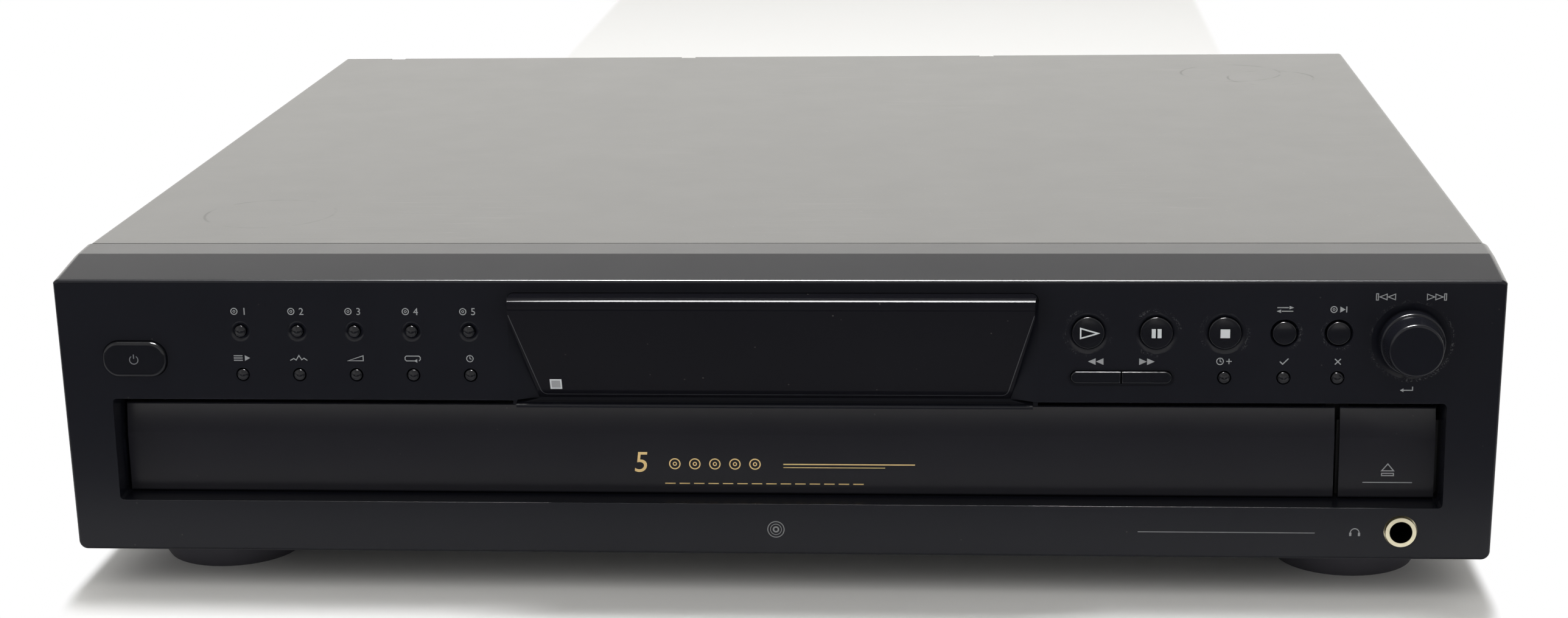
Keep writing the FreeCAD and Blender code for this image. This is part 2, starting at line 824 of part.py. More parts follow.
def rear_panel():
    """Steel back plate with holes for the sockets and the mains lead."""
    half = base_half_width()
    plate = block(-half, half, case_depth - rear_sheet, case_depth, panel_z0, cover_under - slide_gap)
    for x in cover_notches():
        plate = plate.fuse(block(x - 2.6, x + 2.6, case_depth - rear_sheet, case_depth, cover_under - 1.0,
                                 cover_top - 0.3))
    cuts = [peg(x, jack_z(), case_depth - 2 * rear_sheet, case_depth + 1.0, jack_collar_radius + fit_gap)
            for x in jack_places()]
    cuts.append(peg(gland_x, gland_z(), case_depth - 2 * rear_sheet, case_depth + 1.0,
                    gland_neck_radius + fit_gap))
    x0, x1, z0, z1 = optical_place()
    cuts.append(block(x0 - fit_gap, x1 + fit_gap, case_depth - 2 * rear_sheet, case_depth + 1.0, z0 - fit_gap,
                      z1 + fit_gap))
    for row in range(rear_vent_rows):
        for n in range(rear_vent_columns):
            x = -half + (n + 7) * rear_vent_pitch
            z = cover_top - (row + 2) * rear_vent_pitch
            cuts.append(block(x, x + 2 * vent_width, case_depth - 2 * rear_sheet, case_depth + 1.0, z,
                              z + vent_width))
    return less(plate.removeSplitter(), cuts)


def case_screws():
    """Side screws of the cover, with round heads."""
    half = cover_width / 2
    screws = []
    for side in (-1, 1):
        for depth in case_screw_depths():
            x0, x1 = sorted([side * half, side * (half + screw_head_height)])
            head = axle(depth, case_screw_z(), x0, x1, screw_head_radius)
            s0, s1 = sorted([side * (half - screw_length), side * half])
            screws.append(joined([head, axle(depth, case_screw_z(), s0, s1, screw_radius)]))
    return group(screws)


def foot_places():
    xs = (-(half_width - foot_inset), (half_width - foot_inset))
    return [(x, d) for d in (foot_front_depth, case_depth - foot_rear_inset) for x in xs]


def foot(x, depth):
    """Round foot with a bowl-shaped side and a recessed tread."""
    top, tread = foot_radius, foot_tread_radius
    a = FreeCAD.Vector(tread, 0, 0)
    b = FreeCAD.Vector(tread + (top - tread) * 0.78, 0, foot_height * 0.42)
    c = FreeCAD.Vector(top, 0, foot_height * 0.85)
    d = FreeCAD.Vector(top, 0, foot_height)
    centre = FreeCAD.Vector(0, 0, foot_height)
    low = FreeCAD.Vector(0, 0, foot_height * 0.5)
    well = FreeCAD.Vector(tread * 0.35, 0, foot_height * 0.5)
    well_foot = FreeCAD.Vector(tread * 0.45, 0, 0)
    edges = [Part.LineSegment(well_foot, a).toShape(), Part.Arc(a, b, c).toShape()]
    walk = [c, d, centre, low, well, well_foot]
    edges += [Part.LineSegment(p, q).toShape() for p, q in zip(walk, walk[1:])]
    solid = Part.Face(Part.Wire(edges)).revolve(FreeCAD.Vector(0, 0, 0), FreeCAD.Vector(0, 0, 1), 360)
    solid.translate(at(x, depth, 0))
    return solid


def feet():
    return group([foot(x, depth) for x, depth in foot_places()])


# ---- Controls ----
def domed_peg(x, z, proud, back, radius, dome):
    """A round post whose front end is a shallow dome with a rounded rim."""
    shoulder = radius - cap_edge_radius
    ball = (shoulder ** 2 + dome ** 2) / (2 * dome)
    half_way = ball - math.sqrt(ball ** 2 - (shoulder / 2) ** 2)
    bend = math.sqrt(0.5) * cap_edge_radius
    rim_depth = dome - proud + cap_edge_radius
    crown, edge, side = at(x, -proud, z), at(x + shoulder, dome - proud, z), at(x + radius, rim_depth, z)
    over = Part.Arc(crown, at(x + shoulder / 2, half_way - proud, z), edge).toShape()
    turn = Part.Arc(edge, at(x + shoulder + bend, rim_depth - bend, z), side).toShape()
    corner, heel = at(x + radius, back, z), at(x, back, z)
    base = [Part.makeLine(side, corner), Part.makeLine(corner, heel), Part.makeLine(heel, crown)]
    half = Part.Face(Part.Wire([over, turn] + base))
    return half.revolve(at(x, 0, z), FreeCAD.Vector(0, 1, 0), 360)


def round_button(x, z, radius):
    """A domed cap with a retaining flange and a stem that reaches for its switch."""
    large = radius > small_cap_radius
    proud, dome = (large_proud, large_dome) if large else (small_proud, small_dome)
    cap = domed_peg(x, z, proud, flange_front, radius, dome)
    flange = peg(x, z, flange_front, flange_back, radius + flange_width)
    return joined([cap, flange, peg(x, z, flange_back, stem_end, stem_radius)])


def key_cap(name):
    """One half of the rewind and forward pair, round at its outer end."""
    split = (key_span_left + key_span_right) / 2
    half = key_height / 2
    if name == "rewind_key":
        x0, x1 = key_span_left, split - key_split / 2
        end, square = x0 + half, (x0 + half, x1)
    else:
        x0, x1 = split + key_split / 2, key_span_right
        end, square = x1 - half, (x0, x1 - half)
    cap = joined([peg(end, lower_z, -key_proud, flange_front, half),
                  block(square[0], square[1], -key_proud, flange_front, lower_z - half, lower_z + half)])
    rim = [e for e in cap.Edges if abs(e.BoundBox.YMax - (face_y - key_proud)) < tiny]
    cap = cap.makeFillet(key_edge_radius, rim)
    middle = (x0 + x1) / 2
    flange = block(x0 + key_split, x1 - key_split, flange_front, flange_back, lower_z - half - flange_width,
                   lower_z + half + flange_width)
    return joined([cap, flange, peg(middle, lower_z, flange_back, stem_end, stem_radius)])


def key_centres():
    split = (key_span_left + key_span_right) / 2
    left = (key_span_left + split - key_split / 2) / 2
    right = (key_span_right + split + key_split / 2) / 2
    return [left, right]


def power_button():
    half_w, half_h = power_cap_width / 2, power_cap_height / 2
    cap = rounded_block(power_x - half_w, power_x + half_w, -power_proud, flange_front, power_z - half_h,
                        power_z + half_h, power_cap_radius)
    rim = [e for e in cap.Edges if abs(e.BoundBox.YMax - (face_y - power_proud)) < tiny]
    cap = cap.makeFillet(power_proud * 0.7, rim)
    flange = block(power_x - half_w - flange_width / 2, power_x + half_w + flange_width / 2, flange_front,
                   flange_back, power_z - half_h - flange_width, power_z + half_h + flange_width)
    stem = peg(power_x, power_z, flange_back, plunger_front - power_travel - fit_gap / 2, 2 * stem_radius)
    return joined([cap, flange, stem])


def tact_switch(x, z):
    half = switch_size / 2
    body = block(x - half, x + half, board_depth - switch_height, board_depth, z - half, z + half)
    return joined([body, peg(x, z, plunger_front, board_depth - switch_height, stem_radius)])


def switches():
    """Every switch on the control board, the power switch and the rotary encoder's housing."""
    parts = [tact_switch(x, z) for _, x, z, _, _ in round_buttons()]
    parts += [tact_switch(x, lower_z) for x in key_centres()]
    power = block(power_x - switch_size, power_x + switch_size, board_depth - switch_height, board_depth,
                  power_z - switch_size, power_z + switch_size)
    plunger = peg(power_x, power_z, plunger_front, board_depth - switch_height, 2 * stem_radius)
    parts.append(joined([power, plunger]))
    half = encoder_size / 2
    housing = block(knob_x - half, knob_x + half, encoder_front(), board_depth, knob_z - half, knob_z + half)
    bore = peg(knob_x, knob_z, encoder_front() - 1.0, board_depth + 1.0, encoder_shaft_radius + running_gap)
    parts.append(less(housing, [bore]))
    return group(parts)


def encoder_front():
    return board_depth - encoder_size / 2


def encoder_shaft():
    """The encoder's shaft, which turns nothing itself and is pushed in through its housing."""
    return peg(knob_x, knob_z, 1.5 - knob_proud, board_depth - encoder_travel - 2 * fit_gap,
               encoder_shaft_radius)


def jog_knob():
    """A round knob that tapers towards a flat front, bored for its shaft."""
    skirt = peg(knob_x, knob_z, -knob_skirt_proud, -fit_gap, knob_base_radius)
    nose = peg_cone(knob_x, knob_z, -knob_proud, -knob_skirt_proud, knob_cap_radius,
                    knob_base_radius - knob_skirt_radius)
    rim = [e for e in nose.Edges if abs(e.BoundBox.YMax - (face_y - knob_proud)) < tiny]
    nose = nose.makeFillet(knob_rim_radius, rim)
    shoulder = [e for e in skirt.Edges if abs(e.BoundBox.YMax - (face_y - knob_skirt_proud)) < tiny]
    skirt = skirt.makeFillet(knob_skirt_radius, shoulder)
    body = joined([skirt, nose])
    bore = peg(knob_x, knob_z, 1.3 - knob_proud, 1.0, encoder_shaft_radius + running_gap)
    return less(body, [bore])


def control_board():
    half = panel_width / 2 - 4 * panel_wall
    low = opening_z1 + tunnel_wall + 1.0
    plate = block(-half, half, board_depth, board_depth + board_thickness, low, bay_z1 + 0.5)
    bore = peg(knob_x, knob_z, board_depth - 1.0, board_depth + board_thickness + 1.0,
               encoder_shaft_radius + 1.0)
    return less(plate, [bore])


def display_tube():
    """Flat glass display tube on the control board."""
    x0, x1 = bay_left + 1.4 * aperture_margin, bay_right - 1.4 * aperture_margin
    return rounded_block(x0, x1, pane_backing() + fit_gap, board_depth - fit_gap,
                         opening_z1 + aperture_margin * 0.6, window_bend_z - aperture_margin * 0.3, 1.5)


def open_close_button():
    """The wide button at the tray's right, with two guide pins that snap into its bracket."""
    x0 = door_split + door_split_gap / 2
    x1 = opening_right - door_side_gap - 0.4
    plate = door_plate(x0, x1)
    pins = []
    for x in button_pin_places():
        z = (door_z0 + door_bend_z) / 2
        pins.append(peg(x, z, tray_front, bracket_back() + fit_gap + 2.0, 1.5))
        pins.append(peg(x, z, bracket_back() + fit_gap, bracket_back() + fit_gap + 1.0, 2.4))
    return joined([plate] + pins)


def button_pin_places():
    x0 = door_split + door_split_gap / 2
    x1 = opening_right - door_side_gap
    return [x0 + 6.0, x1 - 6.0]


def bracket_back():
    return tunnel_depth + 2.0


def button_bracket():
    """Plate behind the open/close button, with its switch."""
    plate = block(door_split + 0.4, opening_right + tunnel_wall, tunnel_depth, bracket_back(),
                  opening_z0 - tunnel_wall, door_bend_z + 4.0)
    z = (door_z0 + door_bend_z) / 2
    holes = [peg(x, z, tunnel_depth - 1.0, bracket_back() + 1.0, 1.5 + fit_gap) for x in button_pin_places()]
    middle = sum(button_pin_places()) / 2
    half = switch_size / 2
    switch = block(middle - half, middle + half, tunnel_depth - 1.1, tunnel_depth, z - half, z + half)
    return joined([less(plate, holes), switch])


def door_plate(x0, x1):
    """A stretch of the door's section with its top and bottom front edges rounded."""
    plate = prism_x(door_profile(), x0, x1)
    corners = [(door_setback, door_z0), (door_setback + door_lean, door_z1)]
    return plate.makeFillet(door_edge_radius, cross_edges(plate, corners))


def door_profile():
    """Side view of the tray door: upright, then leaning back near its top."""
    front, back = door_setback, door_setback + door_thickness
    return [(front, door_z0), (front, door_bend_z), (front + door_lean, door_z1), (back + door_lean, door_z1),
            (back, door_bend_z), (back, door_z0)]


def tray_door():
    return door_plate(opening_left + door_side_gap, door_split - door_split_gap / 2)


def phones_jack():
    """Headphone socket: a bright ring and barrel on a black body."""
    body = block(phones_x - 6.0, phones_x + 6.0, panel_wall + 0.1, phones_body_depth,
                 panel_z0 + panel_wall + fit_gap, opening_z0 - tunnel_wall - fit_gap)
    ring = peg(phones_x, phones_z, -0.9, panel_wall + 0.1, phones_ring_radius)
    bore = peg(phones_x, phones_z, -2.0, phones_body_depth - 2.0, phones_bore_radius)
    return less(joined([body, ring]), [bore])


# ---- Tray and carousel ----
def tray_sides():
    return tray_left, tray_right


def tray():
    """Sliding drawer with side runners, a centre post and a cut-out over the disc drive."""
    x0, x1 = tray_sides()
    top = panel_z0 + tray_wall_top
    wall_front = tray_front + door_lean + fit_gap
    parts = [block(x0, x1, tray_front, tray_rear, tray_z0, tray_floor_top),
             block(x0, x0 + tray_wall, wall_front, tray_rear, tray_z0, top),
             block(x1 - tray_wall, x1, wall_front, tray_rear, tray_z0, top),
             block(x0, x1, tray_rear - tray_wall, tray_rear, tray_z0, top),
             block(x0, x1, tray_front, tray_front + tray_wall, opening_z0 + 2.0, door_bend_z - 1.0),
             block(x0 - tray_flange_width, x0, tray_front + 5.0, tray_rear, flange_z0, flange_z1),
             block(x1, x1 + tray_flange_width, tray_front + 5.0, tray_rear, flange_z0, flange_z1),
             post(tray_x, carousel_depth, tray_floor_top, post_top(), hub_radius),
             thrust_ring(), tray_rack()]
    cut = block(tray_x - tray_cut_half_width, tray_x + tray_cut_half_width, drive_bore_depth - tray_cut_reach,
                tray_rear + 1.0, tray_z0 - 1.0, top + 1.0)
    shaft = post(*table_pinion_place(), tray_z0 - 1.0, tray_floor_top + 1.0, gear_post_radius)
    return less(joined(parts), [cut, shaft])


def post_top():
    return carousel_z1 - deck_skin + slide_gap


def thrust_ring():
    ring = post(tray_x, carousel_depth, tray_floor_top, carousel_z0 - slide_gap, thrust_outer_radius)
    return less(ring, [post(tray_x, carousel_depth, tray_floor_top, carousel_z0, thrust_inner_radius)])


def tray_rack():
    """Straight rack under the tray floor, with its teeth towards the loading gear."""
    pitch = math.pi * gear_module
    slope = math.tan(math.radians(pressure_angle))
    tip_x = rack_pitch_x - addendum * gear_module
    root_x = rack_pitch_x + dedendum * gear_module
    half = pitch / 4 - tooth_thinning / 2
    tip_half = half - addendum * gear_module * slope
    root_half = half + dedendum * gear_module * slope
    start = loading_gear_depth - 2 * pitch
    points = [(root_x + rack_bar, start - pitch / 2), (root_x, start - pitch / 2)]
    for n in range(rack_teeth):
        d = start + n * pitch
        points += [(root_x, d - root_half), (tip_x, d - tip_half),
                   (tip_x, d + tip_half), (root_x, d + root_half)]
    end = start + (rack_teeth - 0.5) * pitch
    points += [(root_x, end), (root_x + rack_bar, end)]
    return prism_z(points, tray_z0 - rack_height, tray_z0)


def hub_cap():
    """Cap on the centre post that keeps the carousel down."""
    z0 = post_top()
    cap = post(tray_x, carousel_depth, z0, z0 + hub_cap_thickness, hub_cap_radius)
    rim = [e for e in cap.Edges if abs(e.BoundBox.ZMin - z0 - hub_cap_thickness) < tiny]
    return cap.makeFillet(hub_cap_thickness * 0.4, rim)


def well_places():
    """Centre of each disc well, the first one at the back over the disc drive."""
    places = []
    for n in range(well_count):
        turn = math.radians(90.0 + n * 360.0 / well_count)
        places.append((tray_x + well_circle_radius * math.cos(turn),
                       carousel_depth + well_circle_radius * math.sin(turn), math.degrees(turn)))
    return places


def carousel():
    """Turntable with five stepped disc wells, each slotted out to the rim, and a ring gear below."""
    c = (tray_x, carousel_depth)
    plate = post(*c, carousel_z0, carousel_z1, carousel_radius)
    rim = [e for e in plate.Edges if abs(e.BoundBox.ZMin - carousel_z1) < tiny]
    plate = plate.makeFillet(deck_skin * 0.5, rim)
    pocket = post(*c, carousel_z0 - 1.0, carousel_z1 - deck_skin, carousel_radius - 2 * deck_skin)
    solid_parts = [post(x, d, carousel_z0 - 2.0, carousel_z1, well_radius + deck_skin)
                   for x, d, _ in well_places()]
    solid_parts.append(post(*c, carousel_z0 - 2.0, carousel_z1, ring_gear_radius() + 3.0))
    plate = less(plate, [less(pocket, solid_parts)])
    cuts = []
    for x, d, turn in well_places():
        cuts.append(post(x, d, well_z, carousel_z1 + 1.0, well_radius))
        cuts.append(post(x, d, well_z - small_well_step, well_z + 1.0, small_well_radius))
        round_end = post(x, d, carousel_z0 - 1.0, carousel_z1 + 1.0, slot_half_width)
        run = block(x, x + 2 * well_radius, d - slot_half_width, d + slot_half_width,
                    carousel_z0 - 1.0, carousel_z1 + 1.0)
        cuts.append(joined([round_end, run.rotated(at(x, d, 0), FreeCAD.Vector(0, 0, 1), turn)]))
    cuts.append(post(*c, carousel_z0 - 1.0, carousel_z1 + 1.0, hub_radius + running_gap))
    cuts.append(post(*c, carousel_z1 - deck_skin, carousel_z1 + 1.0, hub_cap_radius + 2 * fit_gap))
    body = less(plate, cuts)
    phase = math.radians(table_pinion_angle)
    ring = gear(*c, carousel_z0 - ring_gear_height, carousel_z0, ring_gear_teeth, phase)
    ring = less(ring, [post(*c, carousel_z0 - ring_gear_height - 1.0, carousel_z0 + 1.0, ring_gear_bore)])
    return joined([body, ring])


def ring_gear_radius():
    return pitch_radius(ring_gear_teeth)


def table_pinion_place():
    reach = ring_gear_radius() + pitch_radius(table_pinion_teeth)
    turn = math.radians(table_pinion_angle)
    return tray_x + reach * math.cos(turn), carousel_depth + reach * math.sin(turn)


def table_motor():
    """Flat motor hung under the tray floor, with its shaft through the floor."""
    x, d = table_pinion_place()
    body = post(x, d, opening_z0 + 1.4, tray_z0, table_motor_radius)
    return joined([body, post(x, d, tray_z0, tray_floor_top + 0.5, 1.5)])


def table_pinion():
    """Pinion that turns the carousel, on a hub that runs over the motor's shaft end."""
    x, d = table_pinion_place()
    phase = math.radians(table_pinion_angle + 180.0 + 180.0 / table_pinion_teeth)
    z1 = carousel_z0 - 0.4
    body = gear(x, d, tray_floor_top + fit_gap, z1, table_pinion_teeth, phase)
    return less(body, [post(x, d, tray_floor_top - 1.0, tray_floor_top + 0.5 + fit_gap, 1.5 + running_gap)])


def guide_side(side):
    """One tray guide: a wall with a ledge under and over the tray's runner."""
    inner = tray_x + side * (tray_half_width + tray_flange_width + 1.2)
    outer = inner + side * 7.0
    edge = tray_x + side * (tray_half_width + 1.0)
    wall = block(*sorted([inner, outer]), tunnel_depth + 5.0, pivot_depth - 8.0, base_top, guide_top)
    low = block(*sorted([edge, inner]), tunnel_depth + 5.0, pivot_depth - 8.0, flange_z0 - slide_gap - 2.2,
                flange_z0 - slide_gap)
    high = block(*sorted([edge, inner]), tunnel_depth + 5.0, pivot_depth - 8.0, flange_z1 + slide_gap,
                 flange_z1 + slide_gap + 2.0)
    clear_front = block(*sorted([inner - side, outer + side]), tunnel_depth, base_front() + 1.5,
                        panel_z0 - 1.0, panel_z0 + panel_wall + base_sheet + 1.0)
    return less(joined([wall, low, high]), [clear_front])


def tray_guides():
    """Both guides; the left one carries the loading gears' deck and posts."""
    left, right = guide_side(-1), guide_side(1)
    motor_x, motor_d = motor_place()
    inner = tray_x - tray_half_width - tray_flange_width - 1.2
    deck = block(inner - 1.0, motor_x + loading_motor_radius + 4.0, base_front() + 2.0, motor_d + 16.0,
                 base_top, base_top + 1.5)
    posts = [post(*loading_gear_place(), base_top, tray_z0 - 0.6, gear_post_radius),
             post(*pulley_place(), base_top, pulley_top() + 0.2, gear_post_radius)]
    seats = [post(*loading_gear_place(), base_top, reduction_z() - slide_gap, 5.0),
             post(*pulley_place(), base_top, reduction_z(), 5.0)]
    return group([joined([left, deck] + posts + seats), right])


def loading_gear_place():
    return rack_pitch_x - pitch_radius(rack_pinion_teeth), loading_gear_depth


def pulley_place():
    x, d = loading_gear_place()
    reach = pitch_radius(reduction_gear_teeth + pulley_pinion_teeth)
    turn = math.radians(pulley_angle)
    return x + reach * math.cos(turn), d + reach * math.sin(turn)


def motor_place():
    x, d = pulley_place()
    return x + motor_pulley_distance, d


def reduction_z():
    """Underside of the large gear, low enough for the pulley and the rack to pass over it."""
    return tray_z0 - rack_height - pulley_height - 6.0


def pulley_bottom():
    return reduction_z() + 5.2


def pulley_top():
    return pulley_bottom() + pulley_height


def loading_gear():
    """Large gear with a pinion above it that drives the rack."""
    x, d = loading_gear_place()
    turn = math.radians(pulley_angle)
    big = gear(x, d, reduction_z(), reduction_z() + 4.4, reduction_gear_teeth, turn)
    hub = post(x, d, reduction_z() + 4.4, tray_z0 - rack_height + 0.5, pitch_radius(rack_pinion_teeth) - 2.0)
    phase = math.pi / rack_pinion_teeth
    small = gear(x, d, tray_z0 - rack_height + 0.5, tray_z0 - 0.6, rack_pinion_teeth, phase)
    return less(joined([big, hub, small]), [post(x, d, 0, tray_z0, gear_post_radius + running_gap)])


def grooved_pulley(x, d, z0, radius):
    """A pulley with a square groove for the belt."""
    z1 = z0 + pulley_height
    lip = (pulley_height - belt_height) / 2 - running_gap
    wheel = post(x, d, z0, z1, radius)
    groove = less(post(x, d, z0 + lip, z1 - lip, radius + 1.0), [post(x, d, z0, z1, radius - pulley_groove)])
    return less(wheel, [groove])


def pulley_gear():
    """Belt pulley with a small gear below it."""
    x, d = pulley_place()
    turn = math.radians(pulley_angle + 180.0 + 180.0 / pulley_pinion_teeth)
    small = gear(x, d, reduction_z() + 0.2, reduction_z() + 4.2, pulley_pinion_teeth, turn)
    hub = post(x, d, reduction_z() + 4.2, pulley_bottom(), 5.0)
    body = joined([small, hub, grooved_pulley(x, d, pulley_bottom(), pulley_radius)])
    return less(body, [post(x, d, 0, pulley_top() + 1.0, gear_post_radius + running_gap)])


def motor_pulley():
    x, d = motor_place()
    wheel = grooved_pulley(x, d, pulley_bottom(), motor_pulley_radius)
    return less(wheel, [post(x, d, 0, pulley_top() + 1.0, 1.0 + running_gap)])


def loading_motor():
    x, d = motor_place()
    body = post(x, d, base_top + 1.5, pulley_bottom() - 0.8, loading_motor_radius)
    return joined([body, post(x, d, pulley_bottom() - 0.8, pulley_top(), 1.0)])


def belt_loop(z0, z1, r0, r1):
    """The outline of a belt laid round both pulleys, filled in."""
    (x0, d0), (x1, d1) = pulley_place(), motor_place()
    span = math.hypot(x1 - x0, d1 - d0)
    lean = math.acos((r0 - r1) / span)
    run = math.atan2(d1 - d0, x1 - x0)
    corners = []
    for x, d, r, turn in [(x0, d0, r0, run + lean), (x1, d1, r1, run + lean), (x1, d1, r1, run - lean),
                          (x0, d0, r0, run - lean)]:
        corners.append((x + r * math.cos(turn), d + r * math.sin(turn)))
    return joined([prism_z(corners, z0, z1), post(x0, d0, z0, z1, r0), post(x1, d1, z0, z1, r1)])


def drive_belt():
    """Flat rubber belt from the motor to the pulley."""
    z0 = pulley_bottom() + (pulley_height - belt_height) / 2
    r0 = pulley_radius - pulley_groove + running_gap
    r1 = motor_pulley_radius - pulley_groove + running_gap
    outer = belt_loop(z0, z0 + belt_height, r0 + belt_thickness, r1 + belt_thickness)
    return less(outer, [belt_loop(z0 - 1.0, z0 + belt_height + 1.0, r0, r1)])


# ---- Disc drive ----
def lowered(shape):
    """A piece of the disc drive, built level and then tipped down about its rear pivot."""
    return shape.rotated(at(0, pivot_depth, unit_z), FreeCAD.Vector(1, 0, 0), lift_angle)


def unit_top():
    return unit_z + unit_plate - 1.0


def base_unit_chassis():
    """Plate that carries the disc drive, with pivot pins behind, a lift pin in front and guide rods."""
    x0, x1 = tray_x - unit_half_width, tray_x + unit_half_width
    z0, z1 = unit_z - 1.0, unit_top()
    rear = pivot_depth + 4.0
    parts = [block(x0, x1, unit_front_depth, rear, z0, z1)]
    for x in (x0, x1 - 2.0):
        parts.append(block(x, x + 2.0, unit_front_depth, rear, z0 - 2.0, z0))
    for side in (-1, 1):
        near, far = tray_x + side * (unit_half_width - 1.0), tray_x + side * (unit_half_width + 5.5)
        parts.append(axle(pivot_depth, unit_z, min(near, far), max(near, far), pivot_pin_radius))
    parts.append(peg(tray_x, unit_z + 1.0 - unit_plate / 2 + 0.25, slider_depth() - 1.5,
                     unit_front_depth + 1.0, pin_radius))
    z_rod = panel_z0 + rod_height
    for side in (-1, 1):
        for d in (sled_track()[0] - 4.0, sled_track()[1]):
            x = tray_x + side * rod_spread
            parts.append(block(x - 3.0, x + 3.0, d, d + 4.0, z1, z_rod + 3.0))
    body = joined(parts)
    track = block(tray_x - sled_half_width - 1.0, tray_x + sled_half_width + 1.0, sled_track()[0],
                  sled_track()[1], z0 - 3.0, z1 + 1.0)
    holes = [track]
    rods = []
    for side in (-1, 1):
        x = tray_x + side * rod_spread
        rod = peg(x, z_rod, sled_track()[0] - 3.0, sled_track()[1] + 3.0, rod_radius)
        holes.append(rod)
        rods.append(rod)
    return lowered(group([less(body, holes)] + rods))


def sled_track():
    """First and last depth of the sled's track."""
    return drive_bore_depth + spindle_motor_radius + 1.5, drive_bore_depth + sled_track_reach


def spindle_motor():
    top = panel_z0 + platter_top
    can_top = top - platter_thickness - platter_over_motor
    body = post(tray_x, drive_bore_depth, unit_top(), can_top, spindle_motor_radius)
    shaft = post(tray_x, drive_bore_depth, can_top, top, 1.0)
    return lowered(joined([body, shaft]))


def disc_platter():
    """Platter with a centring cone for the disc's hole."""
    z1 = panel_z0 + platter_top
    disc = post(tray_x, drive_bore_depth, z1 - platter_thickness, z1, platter_radius)
    cone = Part.makeCone(spindle_cone_radius, spindle_cone_radius - 1.6, spindle_cone_height,
                         at(tray_x, drive_bore_depth, z1))
    bore = post(tray_x, drive_bore_depth, z1 - platter_thickness - 1.0, z1 + 0.05, 1.0 + running_gap)
    return lowered(less(joined([disc, cone]), [bore]))


def sled_front():
    return drive_bore_depth + lens_rest - sled_length * 0.55


def pickup_sled():
    """Carriage of the optical pickup, bored for its guide rods."""
    z0, z1 = panel_z0 + rod_height - 3.5, panel_z0 + rod_height + 4.5
    d0 = sled_front()
    parts = [block(tray_x - sled_half_width, tray_x + sled_half_width, d0, d0 + sled_length, z0, z1)]
    for side in (-1, 1):
        x = tray_x + side * rod_spread
        parts.append(block(x - 3.2, x + 3.2, d0, d0 + sled_length, z0 + 0.5, z1 - 1.5))
    holes = [peg(tray_x + side * rod_spread, panel_z0 + rod_height, d0 - 1.0, d0 + sled_length + 1.0,
                 rod_radius + running_gap) for side in (-1, 1)]
    return lowered(less(joined(parts), holes))


def objective_lens():
    z0 = panel_z0 + rod_height + 4.5
    depth, ball = drive_bore_depth + lens_rest, lens_radius * 1.6
    holder = post(tray_x, depth, z0, z0 + 2.0, lens_radius + 1.5)
    glass = Part.makeSphere(ball, at(tray_x, depth, z0 + 3.0 - ball))
    dome = glass.common(post(tray_x, depth, z0 + 2.0, z0 + 4.0, lens_radius))
    return lowered(joined([holder, dome]))


def slider_depth():
    """Front face of the lift slider."""
    return unit_front_depth - 5.0



def slider_rails():
    d = slider_depth()
    return [(d - 1.4, d - slide_gap), (d + 2.5 + slide_gap, d + 3.7)]


def slider_length():
    return lift_travel + slider_spare_length


def slider_left():
    return tray_x - lift_travel - slider_spare_length / 2


def pin_height(angle):
    """Height of the lift pin with the disc drive tipped down by an angle."""
    reach = pivot_depth - slider_depth() - 1.25
    rise = 1.0 - unit_plate / 2 + 0.25
    return unit_z + rise * math.cos(angle) - reach * math.sin(angle)


def lift_slider():
    """Upright plate with a slanted slot that raises the disc drive's front pin as it moves across."""
    d = slider_depth()
    low, high = pin_height(unit_lift), pin_height(0)
    x0 = slider_left()
    plate = block(x0, x0 + slider_length(), d, d + 2.5, base_top + fit_gap, high + 5.0)
    a = (tray_x, low)
    b = (tray_x - lift_travel, high)
    reach = pin_radius + 0.45
    run = math.hypot(b[0] - a[0], b[1] - a[1])
    nx, nz = -(b[1] - a[1]) / run * reach, (b[0] - a[0]) / run * reach
    slot = [prism_y([(a[0] + nx, a[1] + nz), (b[0] + nx, b[1] + nz), (b[0] - nx, b[1] - nz),
                     (a[0] - nx, a[1] - nz)], d - 1.0, d + 4.0),
            peg(*a, d - 1.0, d + 4.0, reach), peg(*b, d - 1.0, d + 4.0, reach)]
    return less(plate, [joined(slot)])


def clamp_bridge():
    """Steel bridge over the tray that carries the disc clamp."""
    left = tray_x - tray_half_width - tray_flange_width - bridge_overhang
    right = tray_x + tray_half_width + tray_flange_width + bridge_overhang
    d0, d1 = drive_bore_depth - bridge_half_length, drive_bore_depth + bridge_half_length
    parts = [block(left, right, d0, d1, guide_top, guide_top + bridge_sheet)]
    parts += [block(left, right, d, d + bridge_sheet, guide_top, guide_top + bridge_lip_height)
              for d in (d0, d1 - bridge_sheet)]
    hole = post(tray_x, drive_bore_depth, guide_top - 1.0, guide_top + 3.0, clamp_neck_radius + 2 * fit_gap)
    return less(joined(parts), [hole])


def clamp_disc():
    """Disc clamp that hangs in the bridge and turns with the disc."""
    c = (tray_x, drive_bore_depth)
    z0 = panel_z0 + platter_top + clamp_lift
    neck = z0 + clamp_pad_height
    rest = guide_top + bridge_sheet + slide_gap
    parts = [post(*c, z0, neck, clamp_radius), post(*c, neck, rest, clamp_neck_radius),
             post(*c, rest, rest + clamp_flange_height, clamp_flange_radius)]
    recess = post(*c, z0 - 1.0, neck + clamp_recess_gap, spindle_cone_radius + 1.0)
    return less(joined(parts), [recess])


# ---- Electrics ----
def jack_z():
    return base_top + jack_height


def gland_z():
    return base_top + gland_height


def jack_places():
    return [jack_left, jack_left + jack_spacing]


def optical_place():
    """Left, right, bottom and top of the optical socket."""
    x0 = jack_left + 1.9 * jack_spacing
    return x0, x0 + optical_size, jack_z() - optical_size / 2, jack_z() + optical_size / 2


